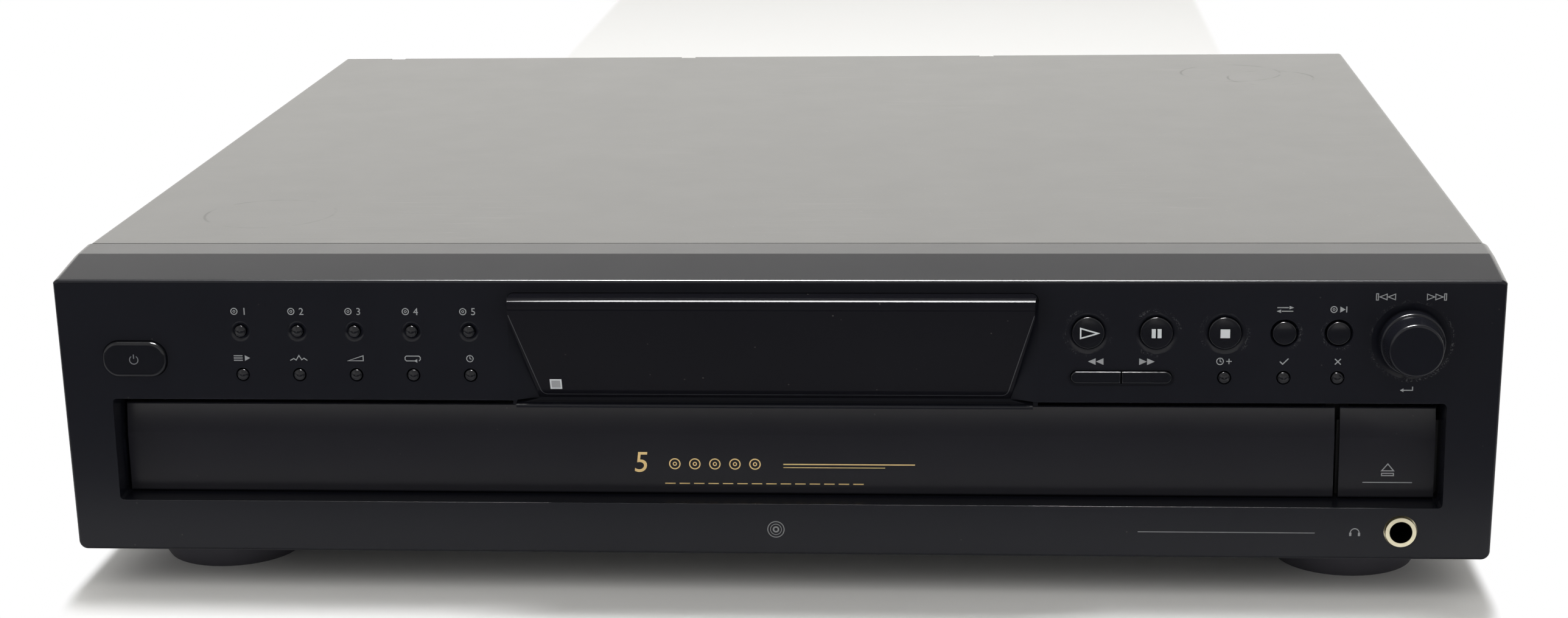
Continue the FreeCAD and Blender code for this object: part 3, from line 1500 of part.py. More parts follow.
def main_board():
    """Circuit board on standoffs, with its larger parts."""
    z0 = base_top + main_board_z
    z1 = z0 + board_thickness
    rear = case_depth - main_board_rear_gap
    board = block(main_board_left, main_board_right, main_board_front, rear, z0, z1)
    parts = []
    for x in (main_board_left + standoff_inset, main_board_right - standoff_inset):
        for d in (main_board_front + standoff_inset, rear - standoff_inset):
            parts.append(post(x, d, base_top, z0, standoff_radius))
    for n in range(4):
        x = main_board_left + (n + 1) * capacitor_pitch
        parts.append(post(x, rear - 2 * capacitor_pitch, z1, z1 + capacitor_height, capacitor_radius))
    for n in range(3):
        x = main_board_left + chip_size / 2 + n * chip_pitch
        front = main_board_front + 2 * chip_pitch
        parts.append(block(x, x + chip_size, front, front + chip_size, z1, z1 + chip_height))
    return joined([board] + parts)


def rear_sockets():
    """Pair of audio jacks and an optical socket on one moulded block."""
    x0 = jack_left - jack_spacing / 2
    x1 = optical_place()[1] + jack_collar_radius / 3
    back = case_depth - rear_sheet
    z0 = base_top + main_board_z + board_thickness
    parts = [block(x0, x1, back - socket_block_depth, back, z0, jack_z() + jack_spacing / 2)]
    for x in jack_places():
        parts.append(peg(x, jack_z(), back, case_depth + jack_collar, jack_collar_radius))
        parts.append(peg(x, jack_z(), case_depth + jack_collar, case_depth + jack_proud, jack_radius))
    o0, o1, oz0, oz1 = optical_place()
    parts.append(block(o0, o1, back, case_depth + optical_proud, oz0, oz1))
    mouth = case_depth + jack_proud
    bores = [peg(x, jack_z(), mouth - jack_bore_length, mouth + 1.0, jack_bore_radius) for x in jack_places()]
    return less(joined(parts), bores)


def cord_gland():
    """Bushing in the rear panel for a mains lead."""
    z = gland_z()
    inside = case_depth - rear_sheet - gland_length
    parts = [peg(gland_x, z, inside, case_depth, gland_neck_radius),
             peg(gland_x, z, case_depth, case_depth + gland_rim, gland_neck_radius + 2 * belt_thickness),
             peg(gland_x, z, inside, case_depth - rear_sheet, gland_neck_radius + belt_thickness)]
    return less(joined(parts), [peg(gland_x, z, 0, case_depth + 2 * gland_rim, gland_bore_radius)])


def transformer():
    """Mains transformer: laminated core and bobbin on a foot plate."""
    x0, x1 = transformer_left, transformer_left + transformer_width
    d0, d1 = transformer_front, transformer_front + transformer_length
    lug = transformer_width / 4
    sheet = base_top + 1.5 * base_sheet
    foot_plate = block(x0, x1, d0 - lug, d1 + lug, base_top, sheet)
    core = block(x0 + lug / 2, x1 - lug / 2, d0, d1, sheet, base_top + transformer_height)
    coil = rounded_block(x0 + 0.5, x1 - 0.5, d0 + 2 * lug, d1 - 2 * lug, base_top + lug,
                         base_top + transformer_height - lug, lug / 2)
    return joined([foot_plate, core, coil])


def named_nodes():
    """Every sub-part by name."""
    nodes = {
        "front_panel": front_panel(), "display_window": display_window(), "top_cover": top_cover(),
        "chassis_base": chassis_base(), "rear_panel": rear_panel(), "case_screws": case_screws(),
        "feet": feet(), "power_button": power_button(), "switches": switches(),
        "encoder_shaft": encoder_shaft(), "jog_knob": jog_knob(), "control_board": control_board(),
        "display_tube": display_tube(), "open_close_button": open_close_button(),
        "button_bracket": button_bracket(), "tray_door": tray_door(), "phones_jack": phones_jack(),
        "tray": tray(), "hub_cap": hub_cap(), "carousel": carousel(), "table_motor": table_motor(),
        "table_pinion": table_pinion(), "tray_guides": tray_guides(), "loading_gear": loading_gear(),
        "pulley_gear": pulley_gear(), "motor_pulley": motor_pulley(), "loading_motor": loading_motor(),
        "drive_belt": drive_belt(), "base_unit_chassis": base_unit_chassis(),
        "spindle_motor": spindle_motor(), "disc_platter": disc_platter(), "pickup_sled": pickup_sled(),
        "objective_lens": objective_lens(), "lift_slider": lift_slider(),
        "clamp_bridge": clamp_bridge(), "clamp_disc": clamp_disc(), "main_board": main_board(),
        "rear_sockets": rear_sockets(), "cord_gland": cord_gland(), "transformer": transformer(),
    }
    for name, x, z, cap, _ in round_buttons():
        nodes[name] = round_button(x, z, cap)
    for name in ("rewind_key", "forward_key"):
        nodes[name] = key_cap(name)
    return nodes


os.makedirs("parts", exist_ok=True)
for node, shape in named_nodes().items():
    shape.exportStep(f"parts/{node}.step")
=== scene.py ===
"""Looks of a full-width disc changer: its finishes, its printed marks, its studio and its view."""

import json
import logging
import math
from dataclasses import dataclass
from enum import Enum

import bpy
import numpy as np
from mathutils import Matrix, Vector


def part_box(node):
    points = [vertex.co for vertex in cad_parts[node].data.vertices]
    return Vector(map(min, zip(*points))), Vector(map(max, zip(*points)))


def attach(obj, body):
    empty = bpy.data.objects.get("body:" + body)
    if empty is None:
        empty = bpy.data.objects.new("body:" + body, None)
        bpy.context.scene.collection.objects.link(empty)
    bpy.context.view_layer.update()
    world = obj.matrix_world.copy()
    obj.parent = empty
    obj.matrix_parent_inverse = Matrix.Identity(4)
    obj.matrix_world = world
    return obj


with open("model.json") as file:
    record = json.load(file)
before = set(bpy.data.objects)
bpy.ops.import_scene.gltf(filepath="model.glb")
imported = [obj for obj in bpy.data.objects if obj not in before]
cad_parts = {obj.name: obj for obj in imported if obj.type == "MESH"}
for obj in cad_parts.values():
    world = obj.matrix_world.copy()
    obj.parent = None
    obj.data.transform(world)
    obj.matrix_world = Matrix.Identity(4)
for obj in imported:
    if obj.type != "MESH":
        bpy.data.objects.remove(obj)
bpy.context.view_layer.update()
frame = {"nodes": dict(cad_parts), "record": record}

LOG = logging.getLogger("disc_changer")
MM = 0.001
FACE_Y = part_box("front_panel")[0].y
Colour = tuple[float, float, float]
Feed = bpy.types.NodeSocket | bpy.types.Node | float | tuple  # what a node's input takes


def srgb(red: int, green: int, blue: int) -> Colour:
    """Turns an 8-bit display colour into linear light.

    Args:
        red: Red, 0 to 255.
        green: Green, 0 to 255.
        blue: Blue, 0 to 255.

    Returns:
        The same colour as linear values.
    """
    return tuple(((c / 255 + 0.055) / 1.055) ** 2.4 if c > 10 else c / 255 / 12.92 for c in (red, green, blue))


# ---------------------------------------------------------------- meshes
class MeshMaker:
    """Puts whole arrays of points and faces into meshes."""

    crisp_angle: float = 32.0

    @classmethod
    def add(cls, name: str, points: np.ndarray, faces: list, body: str, smooth: bool = True) -> bpy.types.Object:
        """Makes an object at the origin that rides on a body.

        Args:
            name: Name of the piece.
            points: Its points in metres, one row each.
            faces: Its faces as lists of point numbers.
            body: The moving body it belongs to.
            smooth: Whether its faces are shaded smooth where they meet gently.

        Returns:
            The new object.
        """
        mesh = bpy.data.meshes.new(name)
        mesh.from_pydata(np.asarray(points, float).tolist(), [], [list(f) for f in faces])
        mesh.validate()
        mesh.update()
        piece = bpy.data.objects.new(name, mesh)
        bpy.context.scene.collection.objects.link(piece)
        if smooth:
            mesh.polygons.foreach_set("use_smooth", np.ones(len(mesh.polygons), bool))
            split = piece.modifiers.new("crisp_edges", "EDGE_SPLIT")
            split.split_angle = math.radians(cls.crisp_angle)
        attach(piece, body)
        LOG.info("made %s on %s", name, body)
        return piece

    @staticmethod
    def lathe(profile: np.ndarray, centre: tuple, sides: int = 64) -> tuple[np.ndarray, list]:
        """Turns a closed profile about an axis along Y.

        Radius r and reach t go to (r cos a, -t, r sin a) for each angle a.

        Args:
            profile: Rows of radius and reach in metres, once round the profile.
            centre: Where the axis starts.
            sides: Number of steps round.

        Returns:
            Points and faces of a closed ring.
        """
        angle = np.arange(sides) * 2 * math.pi / sides
        radius, reach = profile[:, 0, None], profile[:, 1, None]
        away = -np.repeat(reach, sides, axis=1)
        grid = np.stack((radius * np.cos(angle), away, radius * np.sin(angle)), axis=-1)
        rows = len(profile)
        faces = [(i * sides + j, i * sides + (j + 1) % sides, (i + 1) % rows * sides + (j + 1) % sides,
                  (i + 1) % rows * sides + j) for i in range(rows) for j in range(sides)]
        return (grid + np.array(centre)).reshape(-1, 3), faces


@dataclass(frozen=True)
class Patch:
    """A flat figure: its points (x, z) in millimetres, one row each, and its faces, counter-clockwise."""

    points: np.ndarray
    faces: list

    def moved(self, x: float, z: float) -> "Patch":
        """The same figure shifted by x and z."""
        return Patch(self.points + np.array((x, z)), self.faces)

    def turned(self, angle: float) -> "Patch":
        """The same figure turned counter-clockwise about the origin by an angle in radians."""
        c, s = math.cos(angle), math.sin(angle)
        return Patch(self.points @ np.array([[c, s], [-s, c]]), self.faces)

    def rim(self) -> list[tuple[int, int]]:
        """Edges that only one face has, in that face's order.

        Returns:
            The two ends of each edge, as row numbers of the points.
        """
        edges = [(f[i - 1], f[i]) for f in self.faces for i in range(len(f))]
        known = set(edges)
        return [(a, b) for a, b in edges if (b, a) not in known]


class Figures:
    """Makes flat figures for printed marks."""

    @staticmethod
    def polygon(*corners: tuple[float, float]) -> Patch:
        """One filled face through its corners."""
        return Patch(np.array(corners, float), [tuple(range(len(corners)))])

    @staticmethod
    def tile(x0: float, x1: float, z0: float, z1: float, steps: int = 6) -> Patch:
        """A rectangle cut into steps by steps squares: points at even fractions of its two sides.

        Args:
            x0: Left side.
            x1: Right side.
            z0: Lower side.
            z1: Upper side.
            steps: Squares along each side.

        Returns:
            The figure.
        """
        u, v = np.meshgrid(np.linspace(x0, x1, steps + 1), np.linspace(z0, z1, steps + 1), indexing="ij")
        points = np.stack((u, v), axis=-1).reshape(-1, 2)
        row = steps + 1
        faces = [(i * row + j, (i + 1) * row + j, (i + 1) * row + j + 1, i * row + j + 1)
                 for i in range(steps) for j in range(steps)]
        return Patch(points, faces)

    @staticmethod
    def arc(x: float, z: float, inner: float, outer: float, start: float = 0.0, sweep: float = 360.0) -> Patch:
        """Part of a ring: two rows of points, at the inner and the outer radius, for even steps of the angle.

        Args:
            x: Centre.
            z: Centre.
            inner: Inner radius.
            outer: Outer radius.
            start: First angle in degrees, counter-clockwise from the right.
            sweep: Angle covered. 360 closes the ring.

        Returns:
            The figure.
        """
        steps = max(8, round(abs(sweep) / 7.5))
        closed = sweep == 360.0
        angle = np.radians(start + sweep * np.arange(steps if closed else steps + 1) / steps)
        round_ = np.stack((np.cos(angle), np.sin(angle)), axis=-1)
        points = np.concatenate((round_ * inner, round_ * outer)) + np.array((x, z))
        count = len(angle)
        faces = [(i, count + i, count + (i + 1) % count, (i + 1) % count) for i in range(steps)]
        return Patch(points, faces)

    @staticmethod
    def band(corners: list[tuple[float, float]], width: float, closed: bool = False, steps: int = 1) -> Patch:
        """A line of even width through its corners, each moved along the mean of its two normals.

        Args:
            corners: The middle line.
            width: Width of the line.
            closed: Whether the last corner joins the first.
            steps: How many stretches each side is cut into, so that it can follow a dome.

        Returns:
            The figure.
        """
        path = np.array(corners, float)
        along = np.arange(steps)[:, None] / steps
        ends = zip(path, np.roll(path, -1, axis=0)) if closed else zip(path[:-1], path[1:])
        run = [first + (last - first) * along for first, last in ends]
        path = np.concatenate(run if closed else run + [path[-1:]])
        after = np.roll(path, -1, axis=0) - path
        if not closed:
            after[-1] = after[-2]
        after /= np.linalg.norm(after, axis=1)[:, None]
        before = np.roll(after, 1, axis=0)
        if not closed:
            before[0] = after[0]
        side = np.stack((-after[:, 1], after[:, 0]), axis=-1)
        normal = side + np.stack((-before[:, 1], before[:, 0]), axis=-1)
        normal /= np.linalg.norm(normal, axis=1)[:, None]
        lean = np.sum(normal * side, axis=1)[:, None]
        shift = normal * (width / 2) / np.clip(lean, 0.35, 1.0)
        points = np.concatenate((path - shift, path + shift))
        count = len(path)
        spans = count if closed else count - 1
        faces = [(i, (i + 1) % count, count + (i + 1) % count, count + i) for i in range(spans)]
        return Patch(points, faces)

    @staticmethod
    def numeral(text: str, size: float, lean: float = 0.0) -> Patch:
        """A numeral in the plain built-in face, centred on the origin.

        Args:
            text: The digits.
            size: Height of the face in millimetres.
            lean: Slant of the uprights.

        Returns:
            The figure.
        """
        curve = bpy.data.curves.new("digits", "FONT")
        curve.body, curve.size, curve.shear, curve.resolution_u = text, size, lean, 5
        holder = bpy.data.objects.new("digits", curve)
        bpy.context.scene.collection.objects.link(holder)
        bpy.context.view_layer.update()
        mesh = bpy.data.meshes.new_from_object(holder.evaluated_get(bpy.context.evaluated_depsgraph_get()))
        points = np.empty(len(mesh.vertices) * 3)
        mesh.vertices.foreach_get("co", points)
        points = points.reshape(-1, 3)[:, :2]
        faces = [tuple(f.vertices) for f in mesh.polygons]
        bpy.data.objects.remove(holder)
        bpy.data.meshes.remove(mesh)
        keys, back = np.unique(np.round(points, 4), axis=0, return_inverse=True)
        back = back.reshape(-1)
        keys = keys - (keys.min(0) + keys.max(0)) / 2
        turned = []
        for face in faces:
            f = tuple(int(back[i]) for i in face)
            if len(set(f)) < 3:
                continue
            ring = keys[list(f)]
            after = np.roll(ring, -1, axis=0)
            area = np.sum(ring[:, 0] * after[:, 1] - after[:, 0] * ring[:, 1])
            turned.append(f if area > 0 else f[::-1])
        return Patch(keys, turned)


class Facing(Enum):
    """Which way a flat mark looks.

    Each is its axes of width, height and reach, its outward way, and whether its faces are turned round.
    """

    FRONT = (0, 2, 1, -1.0, False)
    REAR = (0, 2, 1, 1.0, True)
    TOP = (0, 1, 2, 1.0, False)
    RIGHT = (1, 2, 0, 1.0, False)
    LEFT = (1, 2, 0, -1.0, True)


@dataclass(frozen=True)
class Sheet:
    """Where a flat figure is laid: a plane at a coordinate in millimetres, which may bulge like a cap."""

    plane: float
    facing: Facing = Facing.FRONT
    lift: float = 0.03
    sink: float = 0.02
    centre: tuple = (0.0, 0.0)
    ball: float = 0.0

    @classmethod
    def on_face(cls, depth: float, **more: float | tuple) -> "Sheet":
        """A sheet that faces the front at a depth behind the panel's face."""
        return cls(FACE_Y / MM + depth, **more)

    def build(self, name: str, figures: list[Patch], body: str, finish: str,
              palette: "Palette") -> bpy.types.Object:
        """Gives the figures a thickness and lays them on the sheet.

        A point goes outwards from the plane by the lift, or inwards by the sink, and inwards again by r squared
        over twice the ball's radius on a dome, where r is its distance from the dome's centre.

        Args:
            name: Name of the piece.
            figures: Flat figures in millimetres.
            body: The moving body they ride on.
            finish: Name of their finish.
            palette: Where the finish comes from.

        Returns:
            The piece.
        """
        wide, high, reach, way, turned = self.facing.value
        points, faces, base = [], [], 0
        for figure in figures:
            flat = figure.points
            off = flat - np.array(self.centre)
            bulge = np.sum(off * off, axis=1) / (2 * self.ball) if self.ball else np.zeros(len(flat))
            for shift in (self.lift, -self.sink):
                layer = np.empty((len(flat), 3))
                layer[:, wide], layer[:, high] = flat[:, 0], flat[:, 1]
                layer[:, reach] = self.plane + way * (shift - bulge)
                points.append(layer * MM)
            count = len(flat)
            ring = [tuple(base + i for i in f) for f in figure.faces]
            ring += [tuple(base + count + i for i in reversed(f)) for f in figure.faces]
            ring += [(base + b, base + a, base + count + a, base + count + b) for a, b in figure.rim()]
            faces += [f[::-1] for f in ring] if turned else ring
            base += 2 * count
        piece = MeshMaker.add(name, np.concatenate(points), faces, body, smooth=False)
        palette.dress(piece, finish)
        return piece


# ---------------------------------------------------------------- shader building
class Nodes:
    """Adds shader nodes to a tree by short calls."""

    def __init__(self, tree: bpy.types.NodeTree) -> None:
        """Keeps the tree, emptied of its first nodes."""
        self.tree = tree
        tree.nodes.clear()

    def add(self, kind: str, settings: dict | None = None, **inputs) -> bpy.types.Node:
        """Adds a node.

        Args:
            kind: The node's type, without its ShaderNode prefix.
            settings: Properties to set on it.
            **inputs: Values or sockets for its inputs, by name with underscores for spaces, or by _number.

        Returns:
            The node.
        """
        node = self.tree.nodes.new(kind if kind.startswith("Node") else "ShaderNode" + kind)
        for key, value in (settings or {}).items():
            setattr(node, key, value)
        for key, value in inputs.items():
            name = int(key[1:]) if key[1:].isdigit() and key[0] == "_" else key.replace("_", " ")
            self.feed(node.inputs[name], value)
        return node

    def feed(self, socket: bpy.types.NodeSocket, value: Feed) -> None:
        """Links a socket to an input, or sets its value.

        Args:
            socket: The input.
            value: An output socket, a node whose first output is meant, or a plain value.
        """
        if isinstance(value, bpy.types.Node):
            value = value.outputs[0]
        if isinstance(value, bpy.types.NodeSocket):
            self.tree.links.new(value, socket)
        elif socket.type == "RGBA" and len(value) == 3:
            socket.default_value = (*value, 1.0)
        else:
            socket.default_value = value

    def maths(self, operation: str, first: Feed, second: Feed = 0.0, clamp: bool = False) -> bpy.types.NodeSocket:
        """One step of arithmetic, as a socket."""
        node = self.add("Math", {"operation": operation, "use_clamp": clamp}, _0=first, _1=second)
        return node.outputs[0]

    def product(self, first: Feed, *others: Feed) -> bpy.types.NodeSocket:
        """Several values multiplied one after the other, as a socket.

        Args:
            first: The first value.
            *others: The values it is multiplied by.

        Returns:
            The product.
        """
        for other in others:
            first = self.maths("MULTIPLY", first, other)
        return first

    def place(self) -> bpy.types.NodeSocket:
        """Where on the object a point lies."""
        return self.add("TexCoord").outputs["Object"]

    def noise(self, place: Feed, scale: Feed, detail: float, **more: Feed) -> bpy.types.NodeSocket:
        """Cloudy noise at a place, from 0 to 1."""
        return self.add("TexNoise", Vector=place, Scale=scale, Detail=detail, **more).outputs[0]

    def mapping(self, place: Feed, **inputs: tuple) -> bpy.types.NodeSocket:
        """A place that is shifted, turned or scaled.

        Args:
            place: The place.
            **inputs: Location, Rotation or Scale, each of three numbers.

        Returns:
            The new place.
        """
        node = self.add("Mapping", Vector=place)
        for name, value in inputs.items():
            node.inputs[name].default_value = value
        return node.outputs[0]

    def off_ring(self, place: Feed, centre: tuple, radius: float) -> bpy.types.NodeSocket:
        """How far a place lies from a ball's surface."""
        apart = self.add("VectorMath", {"operation": "DISTANCE"}, _0=place, _1=centre)
        return self.maths("ABSOLUTE", self.maths("SUBTRACT", apart.outputs["Value"], radius))

    def length(self, vector: Feed) -> bpy.types.NodeSocket:
        """Length of a vector."""
        return self.add("VectorMath", {"operation": "LENGTH"}, _0=vector).outputs["Value"]

    def mix(self, amount: Feed, first: Feed, second: Feed) -> bpy.types.NodeSocket:
        """A mix of two colours, as a socket.

        Args:
            amount: Share of the second, from 0 to 1.
            first: The first colour.
            second: The second colour.

        Returns:
            The mixed colour.
        """
        node = self.add("Mix", {"data_type": "RGBA"})
        self.feed(node.inputs[0], amount)
        self.feed(node.inputs[6], first)
        self.feed(node.inputs[7], second)
        return node.outputs[2]

    def ramp(self, value: Feed, low: float, high: float) -> bpy.types.NodeSocket:
        """How far a value lies between two limits, smoothly from 0 to 1.

        Args:
            value: The value.
            low: Where the result is 0.
            high: Where the result is 1.

        Returns:
            The share.
        """
        node = self.add("MapRange", {"interpolation_type": "SMOOTHSTEP", "clamp": True}, Value=value)
        node.inputs["From Min"].default_value = low
        node.inputs["From Max"].default_value = high
        return node.outputs[0]


class Effects:
    """Surface effects that several finishes share, each a node group built once."""

    made: dict[str, bpy.types.NodeTree] = {}

    @classmethod
    def group(cls, name: str, inputs: dict[str, float],
              outputs: dict[str, str]) -> tuple[bpy.types.NodeTree, bool]:
        """Finds a group or starts a new one with its sockets.

        Args:
            name: Name of the group.
            inputs: Its number inputs and their first values.
            outputs: Its outputs and their socket types.

        Returns:
            The group, and whether it is new.
        """
        if name in cls.made:
            return cls.made[name], False
        tree = bpy.data.node_groups.new(name, "ShaderNodeTree")
        for key, value in inputs.items():
            kind = "NodeSocketColor" if isinstance(value, tuple) else "NodeSocketFloat"
            socket = tree.interface.new_socket(key, in_out="INPUT", socket_type=kind)
            socket.default_value = (*value, 1.0) if isinstance(value, tuple) else value
        for key, kind in outputs.items():
            tree.interface.new_socket(key, in_out="OUTPUT", socket_type=kind)
        cls.made[name] = tree
        return tree, True

    @classmethod
    def moulded(cls) -> bpy.types.NodeTree:
        """Moulded or painted skin: a fine grain, cloudy shade and rubbed, shinier patches.

        Returns:
            The group.
        """
        tree, new = cls.group(
            "moulded_skin",
            {"Colour": (0.1, 0.1, 0.1), "Roughness": 0.5, "Grain Size": 0.4, "Cloud": 0.1, "Rub": 0.1},
            {"Colour": "NodeSocketColor", "Roughness": "NodeSocketFloat", "Height": "NodeSocketFloat"},
        )
        if not new:
            return tree
        n = Nodes(tree)
        given = n.add("NodeGroupInput")
        place = n.place()
        per = n.maths("DIVIDE", 1000.0, given.outputs["Grain Size"])
        grain = n.noise(place, per, 2.0, Roughness=0.6)
        cloud = n.noise(place, 14.0, 4.0, Roughness=0.6)
        smear = n.noise(place, 55.0, 3.0, Roughness=0.55)
        shade = n.product(n.maths("SUBTRACT", cloud, 0.5), n.maths("MULTIPLY", given.outputs["Cloud"], 2.0))
        vector = n.add("VectorMath", {"operation": "SCALE"}, _0=given.outputs["Colour"],
                       Scale=n.maths("ADD", shade, 1.0))
        rub = n.product(n.maths("SUBTRACT", smear, 0.5), given.outputs["Rub"])
        rough = n.maths("ADD", given.outputs["Roughness"], rub, clamp=True)
        n.add("NodeGroupOutput", _0=vector, _1=rough, _2=grain)
        return tree

    @classmethod
    def crisp(cls) -> bpy.types.NodeTree:
        """The smooth normal, but the flat face's own one on faces that look nearly straight up or out.

        Returns:
            The group.
        """
        tree, new = cls.group("crisp_flats", {}, {"Normal": "NodeSocketVector"})
        if not new:
            return tree
        n = Nodes(tree)
        shape = n.add("NewGeometry")
        parts = n.add("SeparateXYZ", _0=shape.outputs["True Normal"])
        flat = n.maths("GREATER_THAN", parts.outputs[2], 0.975)
        for axis in (0, 1):
            square = n.maths("GREATER_THAN", n.maths("ABSOLUTE", parts.outputs[axis]), 0.99995)
            flat = n.maths("MAXIMUM", flat, square)
        node = n.add("Mix", {"data_type": "VECTOR"}, _0=flat)
        n.feed(node.inputs[4], shape.outputs["Normal"])
        n.feed(node.inputs[5], shape.outputs["True Normal"])
        n.add("NodeGroupOutput", _0=node.outputs[1])
        return tree

    @classmethod
    def scratches(cls) -> bpy.types.NodeTree:
        """Fine hairline scratches in two directions, as a mask.

        Returns:
            The group.
        """
        tree, new = cls.group("hairlines", {"Amount": 0.5, "Size": 1.0}, {"Mask": "NodeSocketFloat"})
        if not new:
            return tree
        n = Nodes(tree)
        given = n.add("NodeGroupInput")
        place = n.place()
        marks = []
        for turn, stretch in ((0.5, 60.0), (-1.1, 45.0), (2.4, 75.0)):
            turned = n.mapping(place, Rotation=(0, 0, turn), Scale=(6.0, stretch * 6, 6.0))
            line = n.noise(turned, given.outputs["Size"], 1.0)
            thin = n.ramp(n.maths("ABSOLUTE", n.maths("SUBTRACT", line, 0.5)), 0.012, 0.0)
            where = n.noise(place, 9.0 + stretch / 9, 2.0)
            marks.append(n.product(thin, n.ramp(where, 0.55, 0.68)))
        both = n.maths("MAXIMUM", n.maths("MAXIMUM", marks[0], marks[1]), marks[2])
        n.add("NodeGroupOutput", _0=n.product(both, given.outputs["Amount"]))
        return tree

    @classmethod
    def dust(cls) -> bpy.types.NodeTree:
        """Specks of dust and small pale marks, as a mask.

        Returns:
            The group.
        """
        tree, new = cls.group("dust_specks", {"Amount": 0.5, "Spacing": 3.0}, {"Mask": "NodeSocketFloat"})
        if not new:
            return tree
        n = Nodes(tree)
        given = n.add("NodeGroupInput")
        place = n.place()
        per = n.maths("DIVIDE", 1000.0, given.outputs["Spacing"])
        cell = n.add("TexVoronoi", Vector=place, Scale=per)
        spot = n.ramp(cell.outputs["Distance"], 0.09, 0.03)
        pick = n.ramp(n.noise(place, per, 0.0), 0.6, 0.66)
        n.add("NodeGroupOutput", _0=n.product(spot, pick, given.outputs["Amount"]))
        return tree


class Reading(Enum):
    """What a finish is made of."""

    PLASTIC = "plastic"
    METAL = "metal"


@dataclass(frozen=True)
class Finish:
    """One finish: its colour, its shine, its grain and its wear. Sizes are in millimetres."""

    name: str
    colour: Colour
    roughness: float = 0.45
    reading: Reading = Reading.PLASTIC
    grain: float = 0.35
    relief: float = 0.02
    cloud: float = 0.12
    rub: float = 0.10
    specular: float = 0.5
    coat: float = 0.0
    coat_roughness: float = 0.1
    hairlines: float = 0.0
    specks: float = 0.0
    mark_colour: Colour = (0.30, 0.29, 0.27)
    streak: float = 0.0

    def build(self) -> bpy.types.Material:
        """Makes the material from the shared effects.

        Returns:
            The material, with its shader and its wear.
        """
        material = bpy.data.materials.new(self.name)
        material.use_nodes = True
        n = Nodes(material.node_tree)
        skin = n.add("Group", {"node_tree": Effects.moulded()}, Colour=self.colour, Roughness=self.roughness,
                     Grain_Size=self.grain, Cloud=self.cloud, Rub=self.rub)
        colour, rough, height = skin.outputs[0], skin.outputs[1], skin.outputs[2]
        if self.streak:
            colour, rough = self.brushed(n, colour, rough)
        if self.hairlines:
            mask = n.add("Group", {"node_tree": Effects.scratches()}, Amount=self.hairlines, Size=1.0).outputs[0]
            colour = n.mix(mask, colour, self.mark_colour)
        if self.specks:
            mask = n.add("Group", {"node_tree": Effects.dust()}, Amount=self.specks, Spacing=4.0).outputs[0]
            colour = n.mix(mask, colour, self.mark_colour)
        colour, rough = self.own_marks(n, colour, rough)
        shader = n.add("BsdfPrincipled", Base_Color=colour, Roughness=rough)
        shader.inputs["Metallic"].default_value = 1.0 if self.reading is Reading.METAL else 0.0
        shader.inputs["Specular IOR Level"].default_value = self.specular
        shader.inputs["Coat Weight"].default_value = self.coat
        shader.inputs["Coat Roughness"].default_value = self.coat_roughness
        if self.relief:
            bump = n.add("Bump", Height=height, Strength=1.0)
            bump.inputs["Distance"].default_value = self.relief * MM
            n.feed(bump.inputs["Normal"], n.add("Group", {"node_tree": Effects.crisp()}).outputs[0])
            n.feed(shader.inputs["Normal"], bump)
        n.add("OutputMaterial", _0=shader)
        return material

    def brushed(self, n: Nodes, colour: Feed, rough: Feed) -> tuple[Feed, Feed]:
        """Long fine streaks along X, as rolled or brushed metal has.

        Args:
            n: The material's nodes.
            colour: The colour so far.
            rough: The roughness so far.

        Returns:
            The colour and the roughness with them.
        """
        place = n.place()
        lines = n.noise(n.mapping(place, Scale=(8.0, 900.0, 900.0)), 1.0, 3.0)
        dark = tuple(c * (1 - self.streak) for c in self.colour)
        rough = n.maths("ADD", rough, n.product(n.maths("SUBTRACT", lines, 0.5), self.streak), clamp=True)
        return n.mix(lines, colour, dark), rough

    def own_marks(self, n: Nodes, colour: Feed, rough: Feed) -> tuple[Feed, Feed]:
        """A finish of a class of its own adds its marks here."""
        return colour, rough


@dataclass(frozen=True)
class CoverPaint(Finish):
    """Satin paint on the steel cover, with faint rings where things stood on it."""

    rings: tuple = ((-0.167, -0.117, 0.021), (0.163, 0.147, 0.020), (0.178, 0.135, 0.017))
    top: float = 0.1012
    ring_width: tuple = (0.0007, 0.0001)
    ring_colour: Colour = srgb(40, 38, 36)

    def own_marks(self, n: Nodes, colour: Feed, rough: Feed) -> tuple[Feed, Feed]:
        """Adds faint rings, each where the distance from its centre is near its radius.

        Args:
            n: The material's nodes.
            colour: The colour so far.
            rough: The roughness so far.

        Returns:
            The colour and the roughness with them.
        """
        place = n.place()
        for x, y, radius in self.rings:
            off = n.off_ring(place, (x, y, self.top), radius)
            broken = n.ramp(n.noise(place, 70.0, 2.0), 0.42, 0.6)
            mask = n.product(n.ramp(off, *self.ring_width), n.product(broken, 0.35))
            rough = n.maths("ADD", rough, n.product(mask, 0.25), clamp=True)
            colour = n.mix(n.product(mask, 0.4), colour, self.ring_colour)
        return colour, rough


